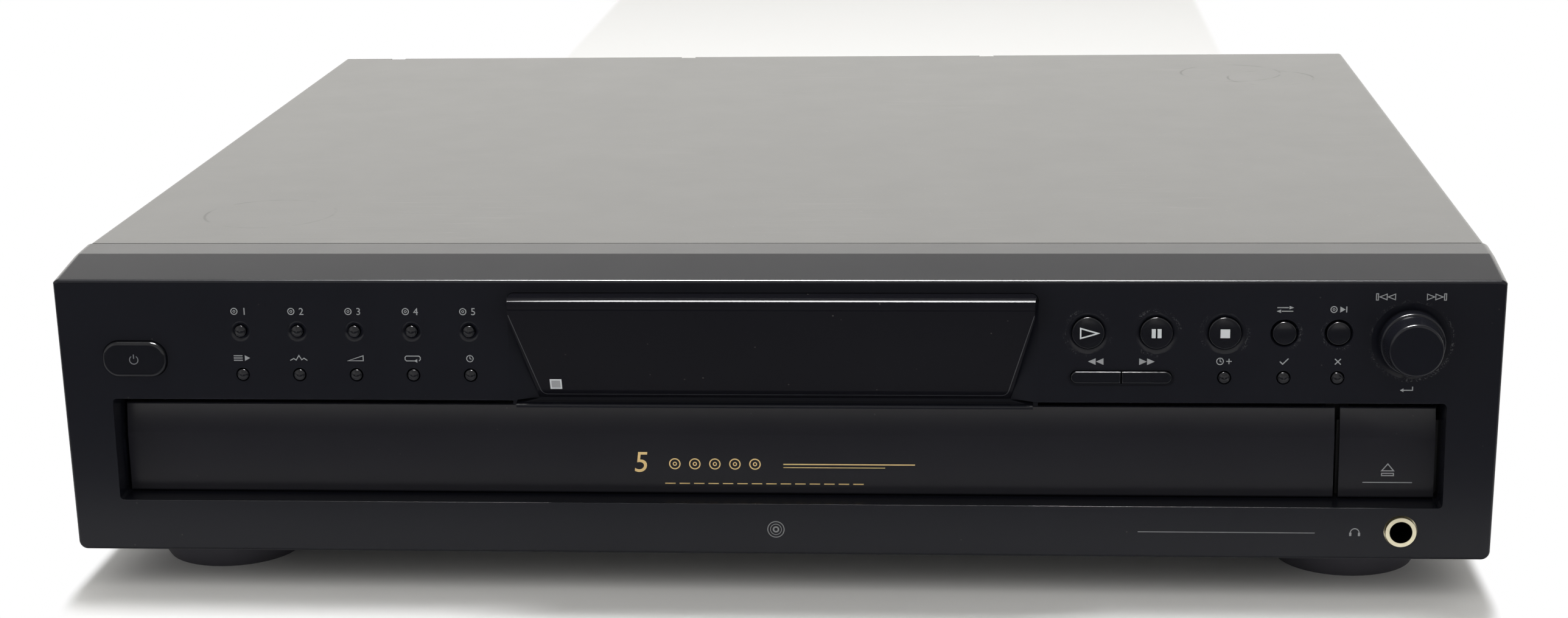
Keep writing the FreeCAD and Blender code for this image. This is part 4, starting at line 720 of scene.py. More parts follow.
@dataclass(frozen=True)
class PanelPaint(Finish):
    """Satin black front with grey dust caught round the rims of the larger dished rings."""

    rings: tuple = (("play_button", 6.9), ("pause_button", 6.9), ("stop_button", 6.9), ("disc_swap_button", 4.7),
                    ("disc_skip_button", 4.7), ("jog_knob", 12.0))
    dust_width: tuple = (0.8 * MM, 0.1 * MM)
    dust_amount: float = 0.6
    dust_colour: Colour = (0.10, 0.10, 0.105)

    def own_marks(self, n: Nodes, colour: Feed, rough: Feed) -> tuple[Feed, Feed]:
        """Adds specks where the distance from a ring's centre is near its radius.

        Args:
            n: The material's nodes.
            colour: The colour so far.
            rough: The roughness so far.

        Returns:
            The colour and the roughness with them.
        """
        place = n.place()
        grit = n.ramp(n.noise(place, 2400.0, 2.0), 0.50, 0.70)
        patch = n.ramp(n.noise(place, 170.0, 1.0), 0.42, 0.62)
        near = None
        for node, radius in self.rings:
            x, z = middle(node)
            band = n.ramp(n.off_ring(place, (x * MM, FACE_Y, z * MM), radius * MM), *self.dust_width)
            near = band if near is None else n.maths("MAXIMUM", near, band)
        return n.mix(n.product(near, grit, patch, self.dust_amount), colour, self.dust_colour), rough


@dataclass(frozen=True)
class DoorPaint(Finish):
    """Satin black door with fine level hairlines right of its middle."""

    centre: tuple = (0.058, 0.0, 0.042)
    reach: float = 0.062
    stretch: tuple = (60.0, 60.0, 3400.0)
    line_amount: float = 0.45
    line_colour: Colour = srgb(52, 52, 58)

    def own_marks(self, n: Nodes, colour: Feed, rough: Feed) -> tuple[Feed, Feed]:
        """Adds the hairlines as thin level streaks of noise that fade out with distance.

        Args:
            n: The material's nodes.
            colour: The colour so far.
            rough: The roughness so far.

        Returns:
            The colour and the roughness with them.
        """
        place = n.place()
        lines = n.ramp(n.noise(n.mapping(place, Scale=self.stretch), 1.0, 2.0), 0.50, 0.72)
        spread = n.mapping(place, Location=tuple(-c for c in self.centre), Scale=(1.0, 0.0, 5.0))
        where = n.ramp(n.length(spread), self.reach, self.reach * 0.3)
        return n.mix(n.product(lines, where, self.line_amount), colour, self.line_colour), rough


@dataclass(frozen=True)
class JackMetal(Finish):
    """Cream-plated metal, dark and dull within the bore of the socket on the front."""

    axis: tuple = (0.1871, 0.0208)
    bore: float = 0.00335
    soft_edge: float = 0.0001
    bore_colour: Colour = srgb(16, 14, 12)
    bore_dullness: float = 0.5

    def own_marks(self, n: Nodes, colour: Feed, rough: Feed) -> tuple[Feed, Feed]:
        """Darkens what lies within the bore's radius of its axis.

        Args:
            n: The material's nodes.
            colour: The colour so far.
            rough: The roughness so far.

        Returns:
            The colour and the roughness, darker and duller in the bore.
        """
        x, z = self.axis
        out = n.length(n.mapping(n.place(), Location=(-x, 0.0, -z), Scale=(1.0, 0.0, 1.0)))
        ring = n.ramp(out, self.bore - self.soft_edge, self.bore + self.soft_edge)
        dull = n.maths("SUBTRACT", self.bore_dullness, n.product(ring, self.bore_dullness))
        return n.mix(ring, self.bore_colour, colour), n.maths("ADD", rough, dull)


@dataclass(frozen=True)
class Ink(Finish):
    """A thin printed ink."""

    roughness: float = 0.5
    grain: float = 0.15
    relief: float = 0.004
    cloud: float = 0.1


class Palette:
    """Every finish on the object, by its material slot."""

    edge_angle: float = 50.0
    finishes: tuple[Finish, ...] = (
        PanelPaint("panel_black", srgb(23, 24, 31), 0.26, specular=0.24, grain=0.30, relief=0.010, rub=0.05,
                   specks=0.10),
        DoorPaint("door_black", srgb(32, 32, 38), 0.22, specular=0.30, grain=0.25, relief=0.006, rub=0.05,
                  specks=0.06),
        Finish("button_black", srgb(20, 21, 27), 0.20, specular=0.30, grain=0.22, relief=0.005, rub=0.04),
        Finish("knob_black", srgb(22, 23, 30), 0.20, specular=0.26, grain=0.25, relief=0.005, rub=0.04),
        Finish("window_smoked", srgb(20, 20, 25), 0.05, specular=0.05, grain=2.0, relief=0.0, rub=0.03,
               specks=0.20),
        Finish("tube_glass", srgb(26, 30, 32), 0.12, specular=0.5, relief=0.0),
        CoverPaint("cover_paint", srgb(44, 43, 41), 0.36, specular=0.55, grain=0.5, relief=0.015,
                   hairlines=0.10, specks=0.25, rub=0.03, cloud=0.05),
        Finish("zinc_sheet", srgb(178, 180, 182), 0.38, Reading.METAL, grain=6.0, cloud=0.25, streak=0.18),
        Finish("rear_sheet", srgb(34, 34, 34), 0.45, grain=0.5, relief=0.02, hairlines=0.2),
        Finish("screw_steel", srgb(62, 62, 64), 0.30, Reading.METAL, streak=0.12),
        # This rubber grey is set lighter than the rubber's own: painted light, lifting the feet out of the shadow
        # under the case.
        Finish("foot_rubber", srgb(68, 67, 74), 0.62, grain=0.5, relief=0.03, specular=0.3),
        Finish("board_green", srgb(38, 82, 48), 0.35, grain=1.4, relief=0.03, cloud=0.3),
        Finish("switch_plastic", srgb(34, 34, 36), 0.45),
        Finish("mechanism_plastic", srgb(30, 30, 32), 0.5, relief=0.02),
        Finish("tray_plastic", srgb(26, 26, 28), 0.48, grain=0.4, relief=0.02, hairlines=0.15),
        Finish("gear_plastic", srgb(224, 221, 208), 0.42, grain=0.5, relief=0.01, cloud=0.06),
        JackMetal("bright_metal", srgb(236, 228, 200), 0.26, Reading.METAL, grain=1.0, relief=0.004,
                  cloud=0.15),
        Finish("motor_steel", srgb(170, 170, 168), 0.32, Reading.METAL, streak=0.12),
        Finish("belt_rubber", srgb(22, 22, 22), 0.7, relief=0.03),
        Finish("drive_steel", srgb(150, 152, 154), 0.38, Reading.METAL, grain=4.0, cloud=0.2, streak=0.15),
        Finish("pickup_black", srgb(28, 28, 30), 0.45),
        Finish("lens_glass", srgb(70, 86, 128), 0.05, coat=1.0, coat_roughness=0.02, relief=0.0),
        Finish("core_steel", srgb(96, 88, 78), 0.5, Reading.METAL, streak=0.3, grain=0.8),
        Finish("socket_plastic", srgb(24, 24, 24), 0.4),
        Ink("legend_ink", srgb(150, 152, 156), cloud=0.08),
        Ink("white_ink", srgb(206, 210, 214), cloud=0.06),
        Ink("dim_ink", srgb(112, 114, 120)),
        Ink("faint_ink", srgb(128, 129, 132)),
        Ink("border_ink", srgb(50, 51, 57), 0.4),
        # Near-black finish: painted shade in the side screws' cross slots, and the optical socket shutter's own
        # black.
        Finish("slot_shade_and_shutter_black", srgb(10, 10, 10), 0.6, grain=0.2, relief=0.004),
        Finish("plug_red", srgb(176, 30, 30), 0.38, grain=0.3, relief=0.005, cloud=0.06),
        Finish("plug_white", srgb(226, 224, 216), 0.38, grain=0.3, relief=0.005, cloud=0.06),
        Finish("plate_metal", srgb(196, 198, 200), 0.30, Reading.METAL, grain=1.0, relief=0.004, streak=0.08),
        Ink("gold_ink", srgb(236, 204, 140), 0.42, cloud=0.08),
    )

    def __init__(self) -> None:
        """Builds each finish once."""
        self.materials = {finish.name: finish.build() for finish in self.finishes}

    def dress(self, piece: bpy.types.Object, name: str) -> None:
        """Gives a piece one finish all over."""
        piece.data.materials.clear()
        piece.data.materials.append(self.materials[name])

    def dress_frame(self) -> None:
        """Gives every CAD node the finish of its slot, and smooths the curved faces of its mesh.

        Each normal is the mean of its faces' own, weighed by their area, so that flats stay flat beside
        their rounded edges.
        """
        for part in frame["record"]["subparts"]:
            node = frame["nodes"][part["node"]]
            self.dress(node, part["material_slot"])
            node.data.polygons.foreach_set("use_smooth", np.ones(len(node.data.polygons), bool))
            weld = node.modifiers.new("weld", "WELD")
            weld.merge_threshold = 2e-6
            split = node.modifiers.new("crisp_edges", "EDGE_SPLIT")
            split.split_angle = math.radians(self.edge_angle)
            even = node.modifiers.new("even_shade", "WEIGHTED_NORMAL")
            even.mode, even.weight = "FACE_AREA", 100
            LOG.info("dressed %s in %s", part["node"], part["material_slot"])


# ---------------------------------------------------------------- printed marks
def middle(node: str) -> tuple[float, float]:
    """Middle of a node's box seen from the front, as (x, z) in millimetres."""
    low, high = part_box(node)
    return (low.x + high.x) / 2 / MM, (low.z + high.z) / 2 / MM


def front_depth(node: str) -> float:
    """How far a node's front lies behind the panel's face, in millimetres."""
    return (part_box(node)[0].y - FACE_Y) / MM


@dataclass
class PanelPrint:
    """Pale marks on the front panel: numerals over the disc buttons, plain signs over the others."""

    palette: Palette
    line: float = 0.27
    numeral_rise: float = 6.15
    numeral_size: float = 3.1
    sign_rise: float = 5.15
    round_rise: float = 7.2
    ring_radius: float = 1.08
    enter: tuple = (187.2, 64.7)
    skip_left: tuple = (177.4, 92.55)
    skip_right: tuple = (197.7, 92.55)
    socket_sign: tuple = (173.7, 20.6)
    disc_sign: tuple = (1.6, 20.1)
    rule: tuple = (109.8, 162.0, 20.2)

    def disc_ring(self, x: float, z: float, radius: float) -> list[Patch]:
        """A disc seen from above: its rim and its centre hole."""
        return [Figures.arc(x, z, radius - self.line, radius), Figures.arc(x, z, radius * 0.2, radius * 0.38)]

    def numerals(self) -> list[Patch]:
        """A small disc and a numeral over each disc button.

        Returns:
            The figures.
        """
        marks = []
        for n in range(1, 6):
            x, z = middle(f"disc_button_{n}")
            marks += self.disc_ring(x - 1.5, z + self.numeral_rise, self.ring_radius)
            marks.append(Figures.numeral(str(n), self.numeral_size).moved(x + 1.6, z + self.numeral_rise))
        return marks

    def list_sign(self) -> list[Patch]:
        """Three lines and an arrowhead."""
        bars = [Figures.tile(-2.5, 0.2, z - 0.15, z + 0.15, 1) for z in (-0.7, 0.0, 0.7)]
        return bars + [Figures.polygon((0.9, -0.85), (2.5, 0.0), (0.9, 0.85))]

    def peak_sign(self) -> list[Patch]:
        """A line of level with one high peak."""
        return [Figures.band([(-2.6, -0.7), (-1.5, -0.1), (-0.8, -0.6), (0.1, 0.85), (0.9, -0.5), (1.6, 0.0),
                              (2.6, -0.7)], self.line)]

    def fade_sign(self) -> list[Patch]:
        """A wedge that grows to the right."""
        return [Figures.band([(-2.3, -0.75), (2.3, -0.75), (2.3, 0.8)], self.line, closed=True)]

    def loop_sign(self) -> list[Patch]:
        """A flat loop whose end has an arrowhead.

        Returns:
            The figures.
        """
        loop = Figures.band([(0.5, -0.75), (-1.9, -0.75), (-2.3, -0.35), (-2.3, 0.35), (-1.9, 0.75), (1.9, 0.75),
                             (2.3, 0.35), (2.3, -0.35), (1.9, -0.75)], self.line)
        return [loop, Figures.polygon((0.35, -0.75), (1.35, -1.3), (1.35, -0.89), (1.35, -0.2))]

    def clock_sign(self) -> list[Patch]:
        """A ring with two hands."""
        hands = Figures.band([(0.0, 0.68), (0.0, 0.0), (0.48, -0.2)], self.line * 0.9)
        return [Figures.arc(0, 0, 0.85, 1.1), hands]

    def swap_sign(self) -> list[Patch]:
        """Two arrows that pass each other.

        Returns:
            The figures.
        """
        upper = [Figures.tile(-2.3, 1.0, 0.4, 0.68, 1), Figures.polygon((1.2, 0.05), (2.5, 0.54), (1.2, 1.05))]
        lower = [Figures.tile(-1.0, 2.3, -0.68, -0.4, 1),
                 Figures.polygon((-1.2, -0.05), (-2.5, -0.54), (-1.2, -1.05))]
        return upper + lower

    def next_sign(self) -> list[Patch]:
        """A disc and the arrow to the next one."""
        return self.disc_ring(-1.6, 0.0, 1.02) + [Figures.polygon((0.2, -0.9), (1.7, 0.0), (0.2, 0.9)),
                                                  Figures.tile(1.9, 2.2, -0.9, 0.9, 1)]

    def plus_clock_sign(self) -> list[Patch]:
        """A clock and a plus."""
        clock = [part.moved(-1.3, 0.0) for part in self.clock_sign()]
        return clock + [self.cross(0.8, 0.13, 0.0).moved(1.3, 0.0)]

    def tick_sign(self) -> list[Patch]:
        """A tick."""
        return [Figures.band([(-1.15, 0.0), (-0.35, -0.8), (1.3, 0.9)], self.line * 1.15)]

    @staticmethod
    def cross(reach: float, half: float, turn: float) -> Patch:
        """A cross of four equal arms, turned by an angle in degrees.

        Args:
            reach: Length of an arm from the centre.
            half: Half the width of an arm.
            turn: The angle, counter-clockwise.

        Returns:
            The figure.
        """
        h, r = half, reach
        arm = np.array([(h, h), (h, r), (-h, r)])
        quarter = np.array([(0, 1), (-1, 0)])
        ring = np.concatenate([arm @ np.linalg.matrix_power(quarter, n) for n in range(4)])
        return Figures.polygon(*ring).turned(math.radians(turn))

    def seek_sign(self, flip: float) -> list[Patch]:
        """Two filled arrowheads one after the other, to the right, or to the left for a flip of -1.

        Args:
            flip: 1 or -1.

        Returns:
            The figures.
        """
        marks = []
        for x in (-2.25, 0.05):
            corners = [(x * flip, -1.0), ((x + 2.2) * flip, 0.0), (x * flip, 1.0)]
            marks.append(Figures.polygon(*(corners if flip > 0 else corners[::-1])))
        return marks

    def skip_sign(self, flip: float) -> list[Patch]:
        """Two hollow arrowheads and a hollow bar, to the right, or to the left for a flip of -1.

        Args:
            flip: 1 or -1.

        Returns:
            The figures, whose bar ends at x = 0.
        """
        outlines = [[(-0.15, -0.95), (-0.7, -0.95), (-0.7, 0.95), (-0.15, 0.95)]]
        outlines += [[(x, -0.85), (x + 2.1, 0.0), (x, 0.85)] for x in (-5.6, -3.2)]
        marks = [Figures.band([(x * flip, z) for x, z in outline], self.line * 0.9, closed=True)
                 for outline in outlines]
        return [m if flip > 0 else Patch(m.points, [f[::-1] for f in m.faces]) for m in marks]

    def enter_sign(self) -> list[Patch]:
        """A line that turns down and back to an arrowhead.

        Returns:
            The figures.
        """
        x, z = self.enter
        line = Figures.band([(1.7, 0.8), (1.7, -0.3), (-0.9, -0.3)], self.line)
        head = Figures.polygon((-1.9, -0.3), (-0.9, -0.85), (-0.9, 0.25))
        return [line.moved(x, z), head.moved(x, z)]

    def ear_sign(self) -> list[Patch]:
        """A headband with two ear pads.

        Returns:
            The figures.
        """
        x, z = self.socket_sign
        band = Figures.arc(0, -0.25, 1.15, 1.42, 0.0, 180.0)
        pads = [Figures.tile(s * 1.28 - 0.32, s * 1.28 + 0.32, -1.25, -0.2, 1) for s in (-1, 1)]
        return [part.moved(x, z) for part in [band] + pads]

    def build(self) -> None:
        """Lays every panel mark on the panel's face."""
        marks = self.numerals()
        modes = [self.list_sign(), self.peak_sign(), self.fade_sign(), self.loop_sign(), self.clock_sign()]
        places = [(f"mode_button_{n + 1}", sign, self.sign_rise) for n, sign in enumerate(modes)]
        places += [("disc_swap_button", self.swap_sign(), self.round_rise),
                   ("disc_skip_button", self.next_sign(), self.round_rise),
                   ("edit_button", self.plus_clock_sign(), self.sign_rise - 0.2),
                   ("check_button", self.tick_sign(), self.sign_rise - 0.2),
                   ("clear_button", [self.cross(1.2, 0.15, 45.0)], self.sign_rise - 0.2),
                   ("rewind_key", self.seek_sign(-1.0), 4.8), ("forward_key", self.seek_sign(1.0), 4.8)]
        for node, sign, rise in places:
            x, z = middle(node)
            marks += [part.moved(x, z + rise) for part in sign]
        marks += [part.moved(*self.skip_left) for part in self.skip_sign(-1.0)]
        marks += [part.moved(*self.skip_right) for part in self.skip_sign(1.0)]
        marks += self.enter_sign() + self.ear_sign()
        Sheet.on_face(0.0).build("panel_marks", marks, "case", "legend_ink", self.palette)
        low = self.disc_ring(*self.disc_sign, 2.6) + [Figures.arc(*self.disc_sign, 1.55, 1.75)]
        left, right, z = self.rule
        low.append(Figures.tile(left, right, z - 0.12, z + 0.12, 1))
        Sheet.on_face(0.0).build("panel_low_marks", low, "case", "faint_ink", self.palette)


@dataclass
class CapPrint:
    """White signs on the three large caps, and a dim one on the power button."""

    palette: Palette
    proud: float = 0.7
    dome: float = 0.35
    shoulder: float = 4.4
    line: float = 0.42

    def build(self) -> None:
        """Lays each sign on its cap, along the cap's dome."""
        ball = (self.shoulder ** 2 + self.dome ** 2) / (2 * self.dome)
        signs = {
            "play_button": [Figures.band([(-2.2, -1.5), (2.9, 0.0), (-2.2, 1.5)], self.line, closed=True, steps=8)],
            "pause_button": [Figures.tile(-1.42, -0.27, -1.37, 1.37), Figures.tile(0.27, 1.42, -1.37, 1.37)],
            "stop_button": [Figures.tile(-1.38, 1.38, -1.32, 1.32)],
        }
        for node, sign in signs.items():
            x, z = middle(node)
            sheet = Sheet.on_face(-self.proud, centre=(x, z), ball=ball)
            sheet.build(f"{node}_sign", [part.moved(x, z) for part in sign], node, "white_ink", self.palette)
        self.power()

    def power(self) -> None:
        """A broken ring and an upright stroke on the power button."""
        x, z = middle("power_button")
        depth = front_depth("power_button")
        ring = Figures.arc(x, z, 1.15, 1.42, 125.0, 290.0)
        stroke = Figures.tile(x - 0.15, x + 0.15, z + 0.35, z + 1.7, 1)
        Sheet.on_face(depth).build("power_sign", [ring, stroke], "power_button", "dim_ink", self.palette)


@dataclass
class DoorPrint:
    """Gold marks on the tray door: a numeral, five small discs and thin rules."""

    palette: Palette
    numeral: tuple = (-39.8, 38.4)
    discs_from: float = -29.5
    disc_pitch: float = 6.1
    disc_radius: float = 1.75
    disc_z: float = 37.9
    rule_z: float = 31.7
    rule: tuple = (-32.6, 30.2)
    rule_dash: float = 4.4
    dash_share: float = 0.72
    long_rule: tuple = (3.5, 43.3)
    short_by: float = 9.0

    def build(self) -> None:
        """Lays the marks on the door's flat front."""
        depth = front_depth("tray_door")
        marks = [Figures.numeral("5", 9.2, 0.12).moved(*self.numeral)]
        for n in range(5):
            x = self.discs_from + n * self.disc_pitch
            marks.append(Figures.arc(x, self.disc_z, self.disc_radius - 0.35, self.disc_radius))
            marks.append(Figures.arc(x, self.disc_z, 0.35, 0.65))
        left, right = self.long_rule
        marks.append(Figures.tile(left, right, self.disc_z - 0.17, self.disc_z + 0.17, 1))
        marks.append(Figures.tile(left, right - self.short_by, self.disc_z - 1.12, self.disc_z - 0.9, 1))
        left, right = self.rule
        for n in range(int((right - left) / self.rule_dash)):
            x = left + n * self.rule_dash
            dash = self.rule_dash * self.dash_share
            marks.append(Figures.tile(x, x + dash, self.rule_z - 0.16, self.rule_z + 0.16, 1))
        Sheet.on_face(depth).build("door_marks", marks, "tray", "gold_ink", self.palette)


@dataclass
class OpenPrint:
    """A hollow arrowhead over a hollow bar on the open and close button, and a thin rule under them."""

    palette: Palette
    sign: tuple = (183.9, 37.3)
    line: float = 0.3
    rule: tuple = (176.6, 191.2, 33.3)

    def build(self) -> None:
        """Lays the sign on the button's flat front."""
        depth = front_depth("open_close_button")
        x, z = self.sign
        head = Figures.band([(-1.75, -0.35), (1.75, -0.35), (0.0, 1.8)], self.line, closed=True)
        bar = Figures.band([(-1.75, -1.85), (1.75, -1.85), (1.75, -1.15), (-1.75, -1.15)], self.line, closed=True)
        left, right, low = self.rule
        marks = [head.moved(x, z), bar.moved(x, z), Figures.tile(left, right, low - 0.14, low + 0.14, 1)]
        Sheet.on_face(depth).build("open_close_sign", marks, "open_close_button", "legend_ink", self.palette)


@dataclass
class WindowMark:
    """A small pale square in the window's lower left corner, and the fine line printed round the pane."""

    palette: Palette
    corners: tuple = (-65.5, -62.4, 63.2, 66.1)
    rim_width: float = 0.45
    rim_inset: float = 0.22
    nose: tuple = (-6.532, 89.632)
    foot: tuple = (4.186, 60.3)
    line: float = 0.22
    border_top: float = 88.2
    border_low: float = 61.15
    border_foot: tuple = (-68.3, 70.9)
    border_head: tuple = (-76.1, 78.7)
    border_round: float = 2.0

    def lean_back(self, piece: bpy.types.Object) -> None:
        """Moves a sheet's points back to the pane, which leans evenly from its nose to its foot.

        Args:
            piece: The sheet, built upright on the panel's face.
        """
        points = np.empty(len(piece.data.vertices) * 3)
        piece.data.vertices.foreach_get("co", points)
        points = points.reshape(-1, 3)
        (near, high), (far, low) = self.nose, self.foot
        share = (high * MM - points[:, 2]) / ((high - low) * MM)
        points[:, 1] += (near + (far - near) * share) * MM
        piece.data.vertices.foreach_set("co", points.ravel())
        piece.data.update()

    def border(self) -> Patch:
        """The line round the pane: down the left, round both lower corners and up the right.

        Returns:
            The figure.
        """
        (left, right), (left_top, right_top) = self.border_foot, self.border_head
        turn = np.linspace(0.0, 1.0, 9)[1:-1, None]
        path = [np.array([(left_top, self.border_top)])]
        for corner, away in ((left, left_top), (right, right_top)):
            corner_at = np.array([corner, self.border_low])
            up = np.array([away, self.border_top]) - corner_at
            rise = corner_at + up / np.linalg.norm(up) * self.border_round
            run = corner_at + np.array([self.border_round if corner == left else -self.border_round, 0.0])
            first, last = (rise, run) if corner == left else (run, rise)
            path.append((1 - turn) ** 2 * first + 2 * turn * (1 - turn) * corner_at + turn ** 2 * last)
        path.append(np.array([(right_top, self.border_top)]))
        return Figures.band([tuple(point) for point in np.concatenate(path)], self.line)

    def build(self) -> None:
        """Lays the marks on the window."""
        x0, x1, z0, z1 = self.corners
        rim = Figures.band([(x0, z0), (x1, z0), (x1, z1), (x0, z1)], self.rim_width, closed=True)
        inset = self.rim_inset
        inner = Figures.tile(x0 + inset, x1 - inset, z0 + inset, z1 - inset, 2)
        marks = (("window_square_rim", rim, "white_ink"), ("window_square", inner, "legend_ink"),
                 ("window_border", self.border(), "border_ink"))
        for name, figure, finish in marks:
            self.lean_back(Sheet.on_face(0.0).build(name, [figure], "case", finish, self.palette))


@dataclass
class ScrewMarks:
    """A dark cross on the head of each side screw: painted shade where the hollow of its cross slot would be."""

    palette: Palette
    head: float = 214.8
    places: tuple = ((-120.0, 21.4), (154.5, 21.4))
    turns: tuple = ((17.0, 58.0), (34.0, 8.0))
    reach: float = 2.1
    half: float = 0.42

    def build(self) -> None:
        """Lays a cross on each head, each turned a little."""
        sides = (("left", Facing.LEFT, -self.head), ("right", Facing.RIGHT, self.head))
        for (name, facing, plane), turns in zip(sides, self.turns):
            crosses = [PanelPrint.cross(self.reach, self.half, turn).moved(*place)
                       for turn, place in zip(turns, self.places)]
            # Each cross is a flat near-black sheet on the head: painted shade standing in for the slot's hollow.
            sheet = Sheet(plane, facing, lift=0.01, sink=0.01)
            sheet.build(f"screw_slot_shade_{name}", crosses, "case", "slot_shade_and_shutter_black", self.palette)


@dataclass
class RearMarks:
    """Plated sleeves, coloured rings and plain marks round the rear sockets."""

    palette: Palette
    rear: float = 194.5
    jacks: tuple = ((112.0, "plug_red"), (130.0, "plug_white"))
    height: float = 31.0
    collar: float = 0.5
    proud: float = 8.48
    sleeve: tuple = (3.75, 4.18)
    ring: tuple = (4.3, 5.8)
    optical: tuple = (151.0, 3.1)
    optical_face: float = 196.0
    sign_rise: float = 8.3
    border: tuple = (104.0, 158.0, 22.0, 42.2)
    line: float = 0.3

    def build(self) -> None:
        """Makes each jack's sleeve and ring, the optical socket's shutter and the marks over them."""
        for x, colour in self.jacks:
            self.jack(x, colour)
        (x, half), z = self.optical, self.height
        shutter = [Figures.tile(x - half, x + half, z - half, z + half, 1)]
        sheet = Sheet(self.optical_face, Facing.REAR, lift=0.01)
        sheet.build("optical_shutter", shutter, "case", "slot_shade_and_shutter_black", self.palette)
        high = z + self.sign_rise
        marks = [Figures.arc(x, high, 0.9, 1.3), Figures.arc(x, high, 0.0, 0.35)]
        wave = Figures.band([(-1.6, 0.0), (-0.6, 0.9), (0.6, -0.9), (1.6, 0.0)], self.line)
        marks += [wave.moved(place, high) for place, _ in self.jacks]
        x0, x1, z0, z1 = self.border
        marks.append(Figures.band([(x0, z0), (x1, z0), (x1, z1), (x0, z1)], self.line, closed=True))
        Sheet(self.rear, Facing.REAR).build("rear_socket_marks", marks, "case", "legend_ink", self.palette)

    def jack(self, x: float, colour: str) -> None:
        """A thin plated sleeve round the barrel, just short of its end, and a coloured ring on the collar.

        Args:
            x: Where the socket stands, in millimetres.
            colour: Name of the ring's finish.
        """
        (inner, outer), foot = self.sleeve, self.rear + self.collar
        top = self.rear + self.proud
        profile = np.array([(inner, -foot), (inner, -top), (outer, -top), (outer, -foot)]) * MM
        points, faces = MeshMaker.lathe(profile, (x * MM, 0.0, self.height * MM))
        sleeve = MeshMaker.add(f"jack_sleeve_{x:.0f}", points, faces, "case")
        self.palette.dress(sleeve, "plate_metal")
        ring = [Figures.arc(x, self.height, *self.ring)]
        Sheet(foot, Facing.REAR, lift=0.04).build(f"jack_ring_{x:.0f}", ring, "case", colour, self.palette)


@dataclass
class WellNumerals:
    """A numeral printed on the carousel's deck between each two disc wells."""

    palette: Palette
    centre: tuple = (-15.0, -11.5)
    deck: float = 52.0
    radius: float = 152.0
    size: float = 9.0
    first_turn: float = 126.0

    def build(self) -> None:
        """Places the numerals round the deck, each upright when its gap is at the front."""
        marks = []
        for n in range(5):
            turn = math.radians(self.first_turn + 72.0 * n)
            place = np.array(self.centre) + self.radius * np.array((math.cos(turn), math.sin(turn)))
            marks.append(Figures.numeral(str(n + 1), self.size).turned(turn + math.pi / 2).moved(*place))
        Sheet(self.deck, Facing.TOP).build("well_numerals", marks, "carousel", "legend_ink", self.palette)


# ---------------------------------------------------------------- studio and view
@dataclass(frozen=True)
class Lamp:
    """One soft rectangular lamp: where it hangs, what it points at, its two sides in metres and its radiance.

    A lamp of shine alone is seen only in glossy surfaces.
    """

    name: str
    spot: tuple
    aim: tuple
    width: float
    depth: float
    radiance: float
    shine_alone: bool = False

    def build(self) -> None:
        """Makes the lamp. Its power is pi times its area times its radiance."""
        data = bpy.data.lights.new(self.name, "AREA")
        data.shape, data.size, data.size_y = "RECTANGLE", self.width, self.depth
        data.energy = math.pi * self.width * self.depth * self.radiance
        lamp = bpy.data.objects.new(self.name, data)
        bpy.context.scene.collection.objects.link(lamp)
        lamp.location = self.spot
        lamp.rotation_mode = "QUATERNION"
        lamp.rotation_quaternion = (Vector(self.aim) - Vector(self.spot)).to_track_quat("-Z", "Y")
        lamp.visible_diffuse = not self.shine_alone


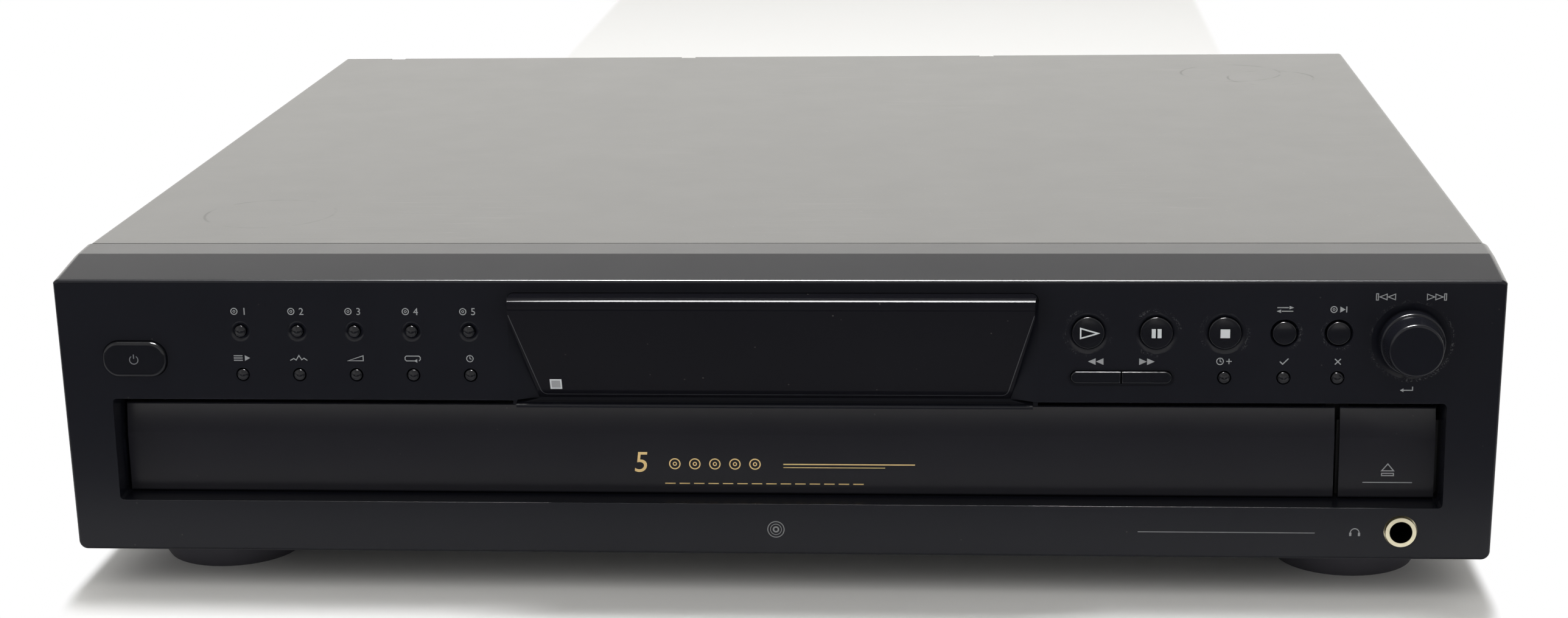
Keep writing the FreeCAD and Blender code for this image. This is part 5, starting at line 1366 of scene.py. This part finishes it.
@dataclass
class Studio:
    """A pale floor, a plain light room and the lamps. Ramps and fades give a value's two limits."""

    floor_half: float = 5.0
    floor_tone: float = 0.92
    tone_drift: float = 0.02
    far_gloss: float = 0.08
    fade: tuple = (-0.235, -0.32)
    shade_half_width: float = 0.206
    shade_beside: float = 0.010
    shade_front: float = 0.1915
    shade_before: float = 0.036
    shade_ramp: tuple = (0.25, 1.0)
    ambient: float = 0.62
    above: float = 0.62
    behind: float = 1.95
    front: float = 1.15
    low_ramp: tuple = (0.50, 0.38)
    back_ramp: tuple = (0.0, 0.5)
    upward_tilt: float = -0.6
    upward_ramp: tuple = (-0.45, 0.45)
    warm: Colour = (1.0, 0.985, 0.945)
    lamps: tuple = (
        Lamp("overhead", (-0.055, 0.10, 1.60), (0.0, -0.1, 0.05), 0.56, 0.26, 36.0),
        Lamp("edge_shine", (-0.055, -0.25, 1.62), (0.0, -0.1, 0.05), 0.56, 0.30, 260.0, True),
        Lamp("fill", (-1.6, -1.2, 1.2), (0.0, 0.0, 0.05), 1.2, 1.2, 0.5),
    )

    def build(self) -> None:
        """Makes the floor, the world and the lamps."""
        self.floor()
        self.world()
        for lamp in self.lamps:
            lamp.build()

    def floor(self) -> None:
        """A flat square: shaded near the object, plain white beyond, and dimmer in reflections in front."""
        half = self.floor_half
        mesh = bpy.data.meshes.new("floor")
        corners = [(-half, -half, 0), (half, -half, 0), (half, half, 0), (-half, half, 0)]
        mesh.from_pydata(corners, [], [(0, 1, 2, 3)])
        floor = bpy.data.objects.new("floor", mesh)
        bpy.context.scene.collection.objects.link(floor)
        material = bpy.data.materials.new("pale_floor")
        material.use_nodes = True
        n = Nodes(material.node_tree)
        place = n.place()
        path = n.add("LightPath")
        parts = n.add("SeparateXYZ", _0=place)
        tone = n.mix(n.noise(place, 1.5, 2.0), (self.floor_tone,) * 3, (self.floor_tone + self.tone_drift,) * 3)
        ahead = n.product(n.ramp(parts.outputs[1], *self.fade), path.outputs["Is Glossy Ray"])
        tone = n.mix(ahead, tone, (self.floor_tone * self.far_gloss,) * 3)
        beside = n.maths("SUBTRACT", n.maths("ABSOLUTE", parts.outputs[0]), self.shade_half_width)
        before = n.maths("SUBTRACT", n.product(parts.outputs[1], -1.0), self.shade_front)
        beside = n.maths("DIVIDE", n.maths("MAXIMUM", beside, 0.0), self.shade_beside)
        before = n.maths("DIVIDE", n.maths("MAXIMUM", before, 0.0), self.shade_before)
        reach = n.maths("ADD", n.product(beside, beside), n.product(before, before))
        beyond = n.product(n.ramp(reach, *self.shade_ramp), path.outputs["Is Camera Ray"])
        body = n.add("BsdfDiffuse", Color=tone)
        white = n.add("Emission", Color=(1.0, 1.0, 1.0), Strength=1.0)
        n.add("OutputMaterial", _0=n.add("MixShader", _0=beyond, _1=body, _2=white))
        mesh.materials.append(material)

    def world(self) -> None:
        """A white room for the camera. Reflections see it bright low behind, plain above and dim in front."""
        world = bpy.data.worlds.new("plain_room")
        bpy.context.scene.world = world
        world.use_nodes = True
        n = Nodes(world.node_tree)
        parts = n.add("SeparateXYZ", _0=n.add("TexCoord").outputs["Generated"])
        low = n.ramp(parts.outputs[2], *self.low_ramp)
        back = n.ramp(parts.outputs[1], *self.back_ramp)
        leaning = n.maths("SUBTRACT", parts.outputs[2], n.product(parts.outputs[1], self.upward_tilt))
        upward = n.ramp(leaning, *self.upward_ramp)
        room = n.maths("ADD", n.product(upward, self.above - self.front), self.front)
        glossy = n.maths("ADD", room, n.product(low, back, self.behind - self.above))
        path = n.add("LightPath")
        seen = n.maths("MAXIMUM", path.outputs["Is Glossy Ray"], path.outputs["Is Transmission Ray"])
        level = n.add("Mix", {"data_type": "FLOAT"}, _0=seen, _2=self.ambient, _3=glossy)
        final = n.add("Mix", {"data_type": "FLOAT"}, _0=path.outputs["Is Camera Ray"], _2=level, _3=1.0)
        tint = n.mix(path.outputs["Is Camera Ray"], self.warm, (1.0, 1.0, 1.0))
        n.add("OutputWorld", _0=n.add("Background", Color=tint, Strength=final))


@dataclass(frozen=True)
class Viewpoint:
    """The main view: where the camera stands, how it is turned, and its lens."""

    spot: tuple = (0.0665, -0.9826, 0.2921)
    yaw: float = -4.43
    pitch: float = 14.38
    roll: float = -1.02
    lens: float = 63.77

    def build(self) -> None:
        """Makes the camera. Its forward line is turned by yaw, then tipped down by pitch, then rolled."""
        yaw, pitch, roll = (math.radians(a) for a in (self.yaw, self.pitch, self.roll))
        ahead = Vector((math.sin(yaw) * math.cos(pitch), math.cos(yaw) * math.cos(pitch), -math.sin(pitch)))
        level = Vector((math.cos(yaw), -math.sin(yaw), 0))
        rise = level.cross(ahead)
        right = level * math.cos(roll) + rise * math.sin(roll)
        up = rise * math.cos(roll) - level * math.sin(roll)
        data = bpy.data.cameras.new("main_view")
        data.lens, data.sensor_width, data.sensor_fit = self.lens, 36.0, "HORIZONTAL"
        camera = bpy.data.objects.new("main_view", data)
        bpy.context.scene.collection.objects.link(camera)
        camera.matrix_world = Matrix((right, up, -ahead)).transposed().to_4x4()
        camera.location = self.spot
        bpy.context.scene.camera = camera


def main() -> None:
    """Builds the looks in order and reports each piece."""
    logging.basicConfig(level=logging.WARNING)
    bpy.context.scene.view_settings.view_transform = "Standard"
    palette = Palette()
    palette.dress_frame()
    for marks in (PanelPrint, CapPrint, DoorPrint, OpenPrint, WindowMark, ScrewMarks, RearMarks, WellNumerals):
        marks(palette).build()
    Studio().build()
    Viewpoint().build()


if __name__ == "__main__":
    main()
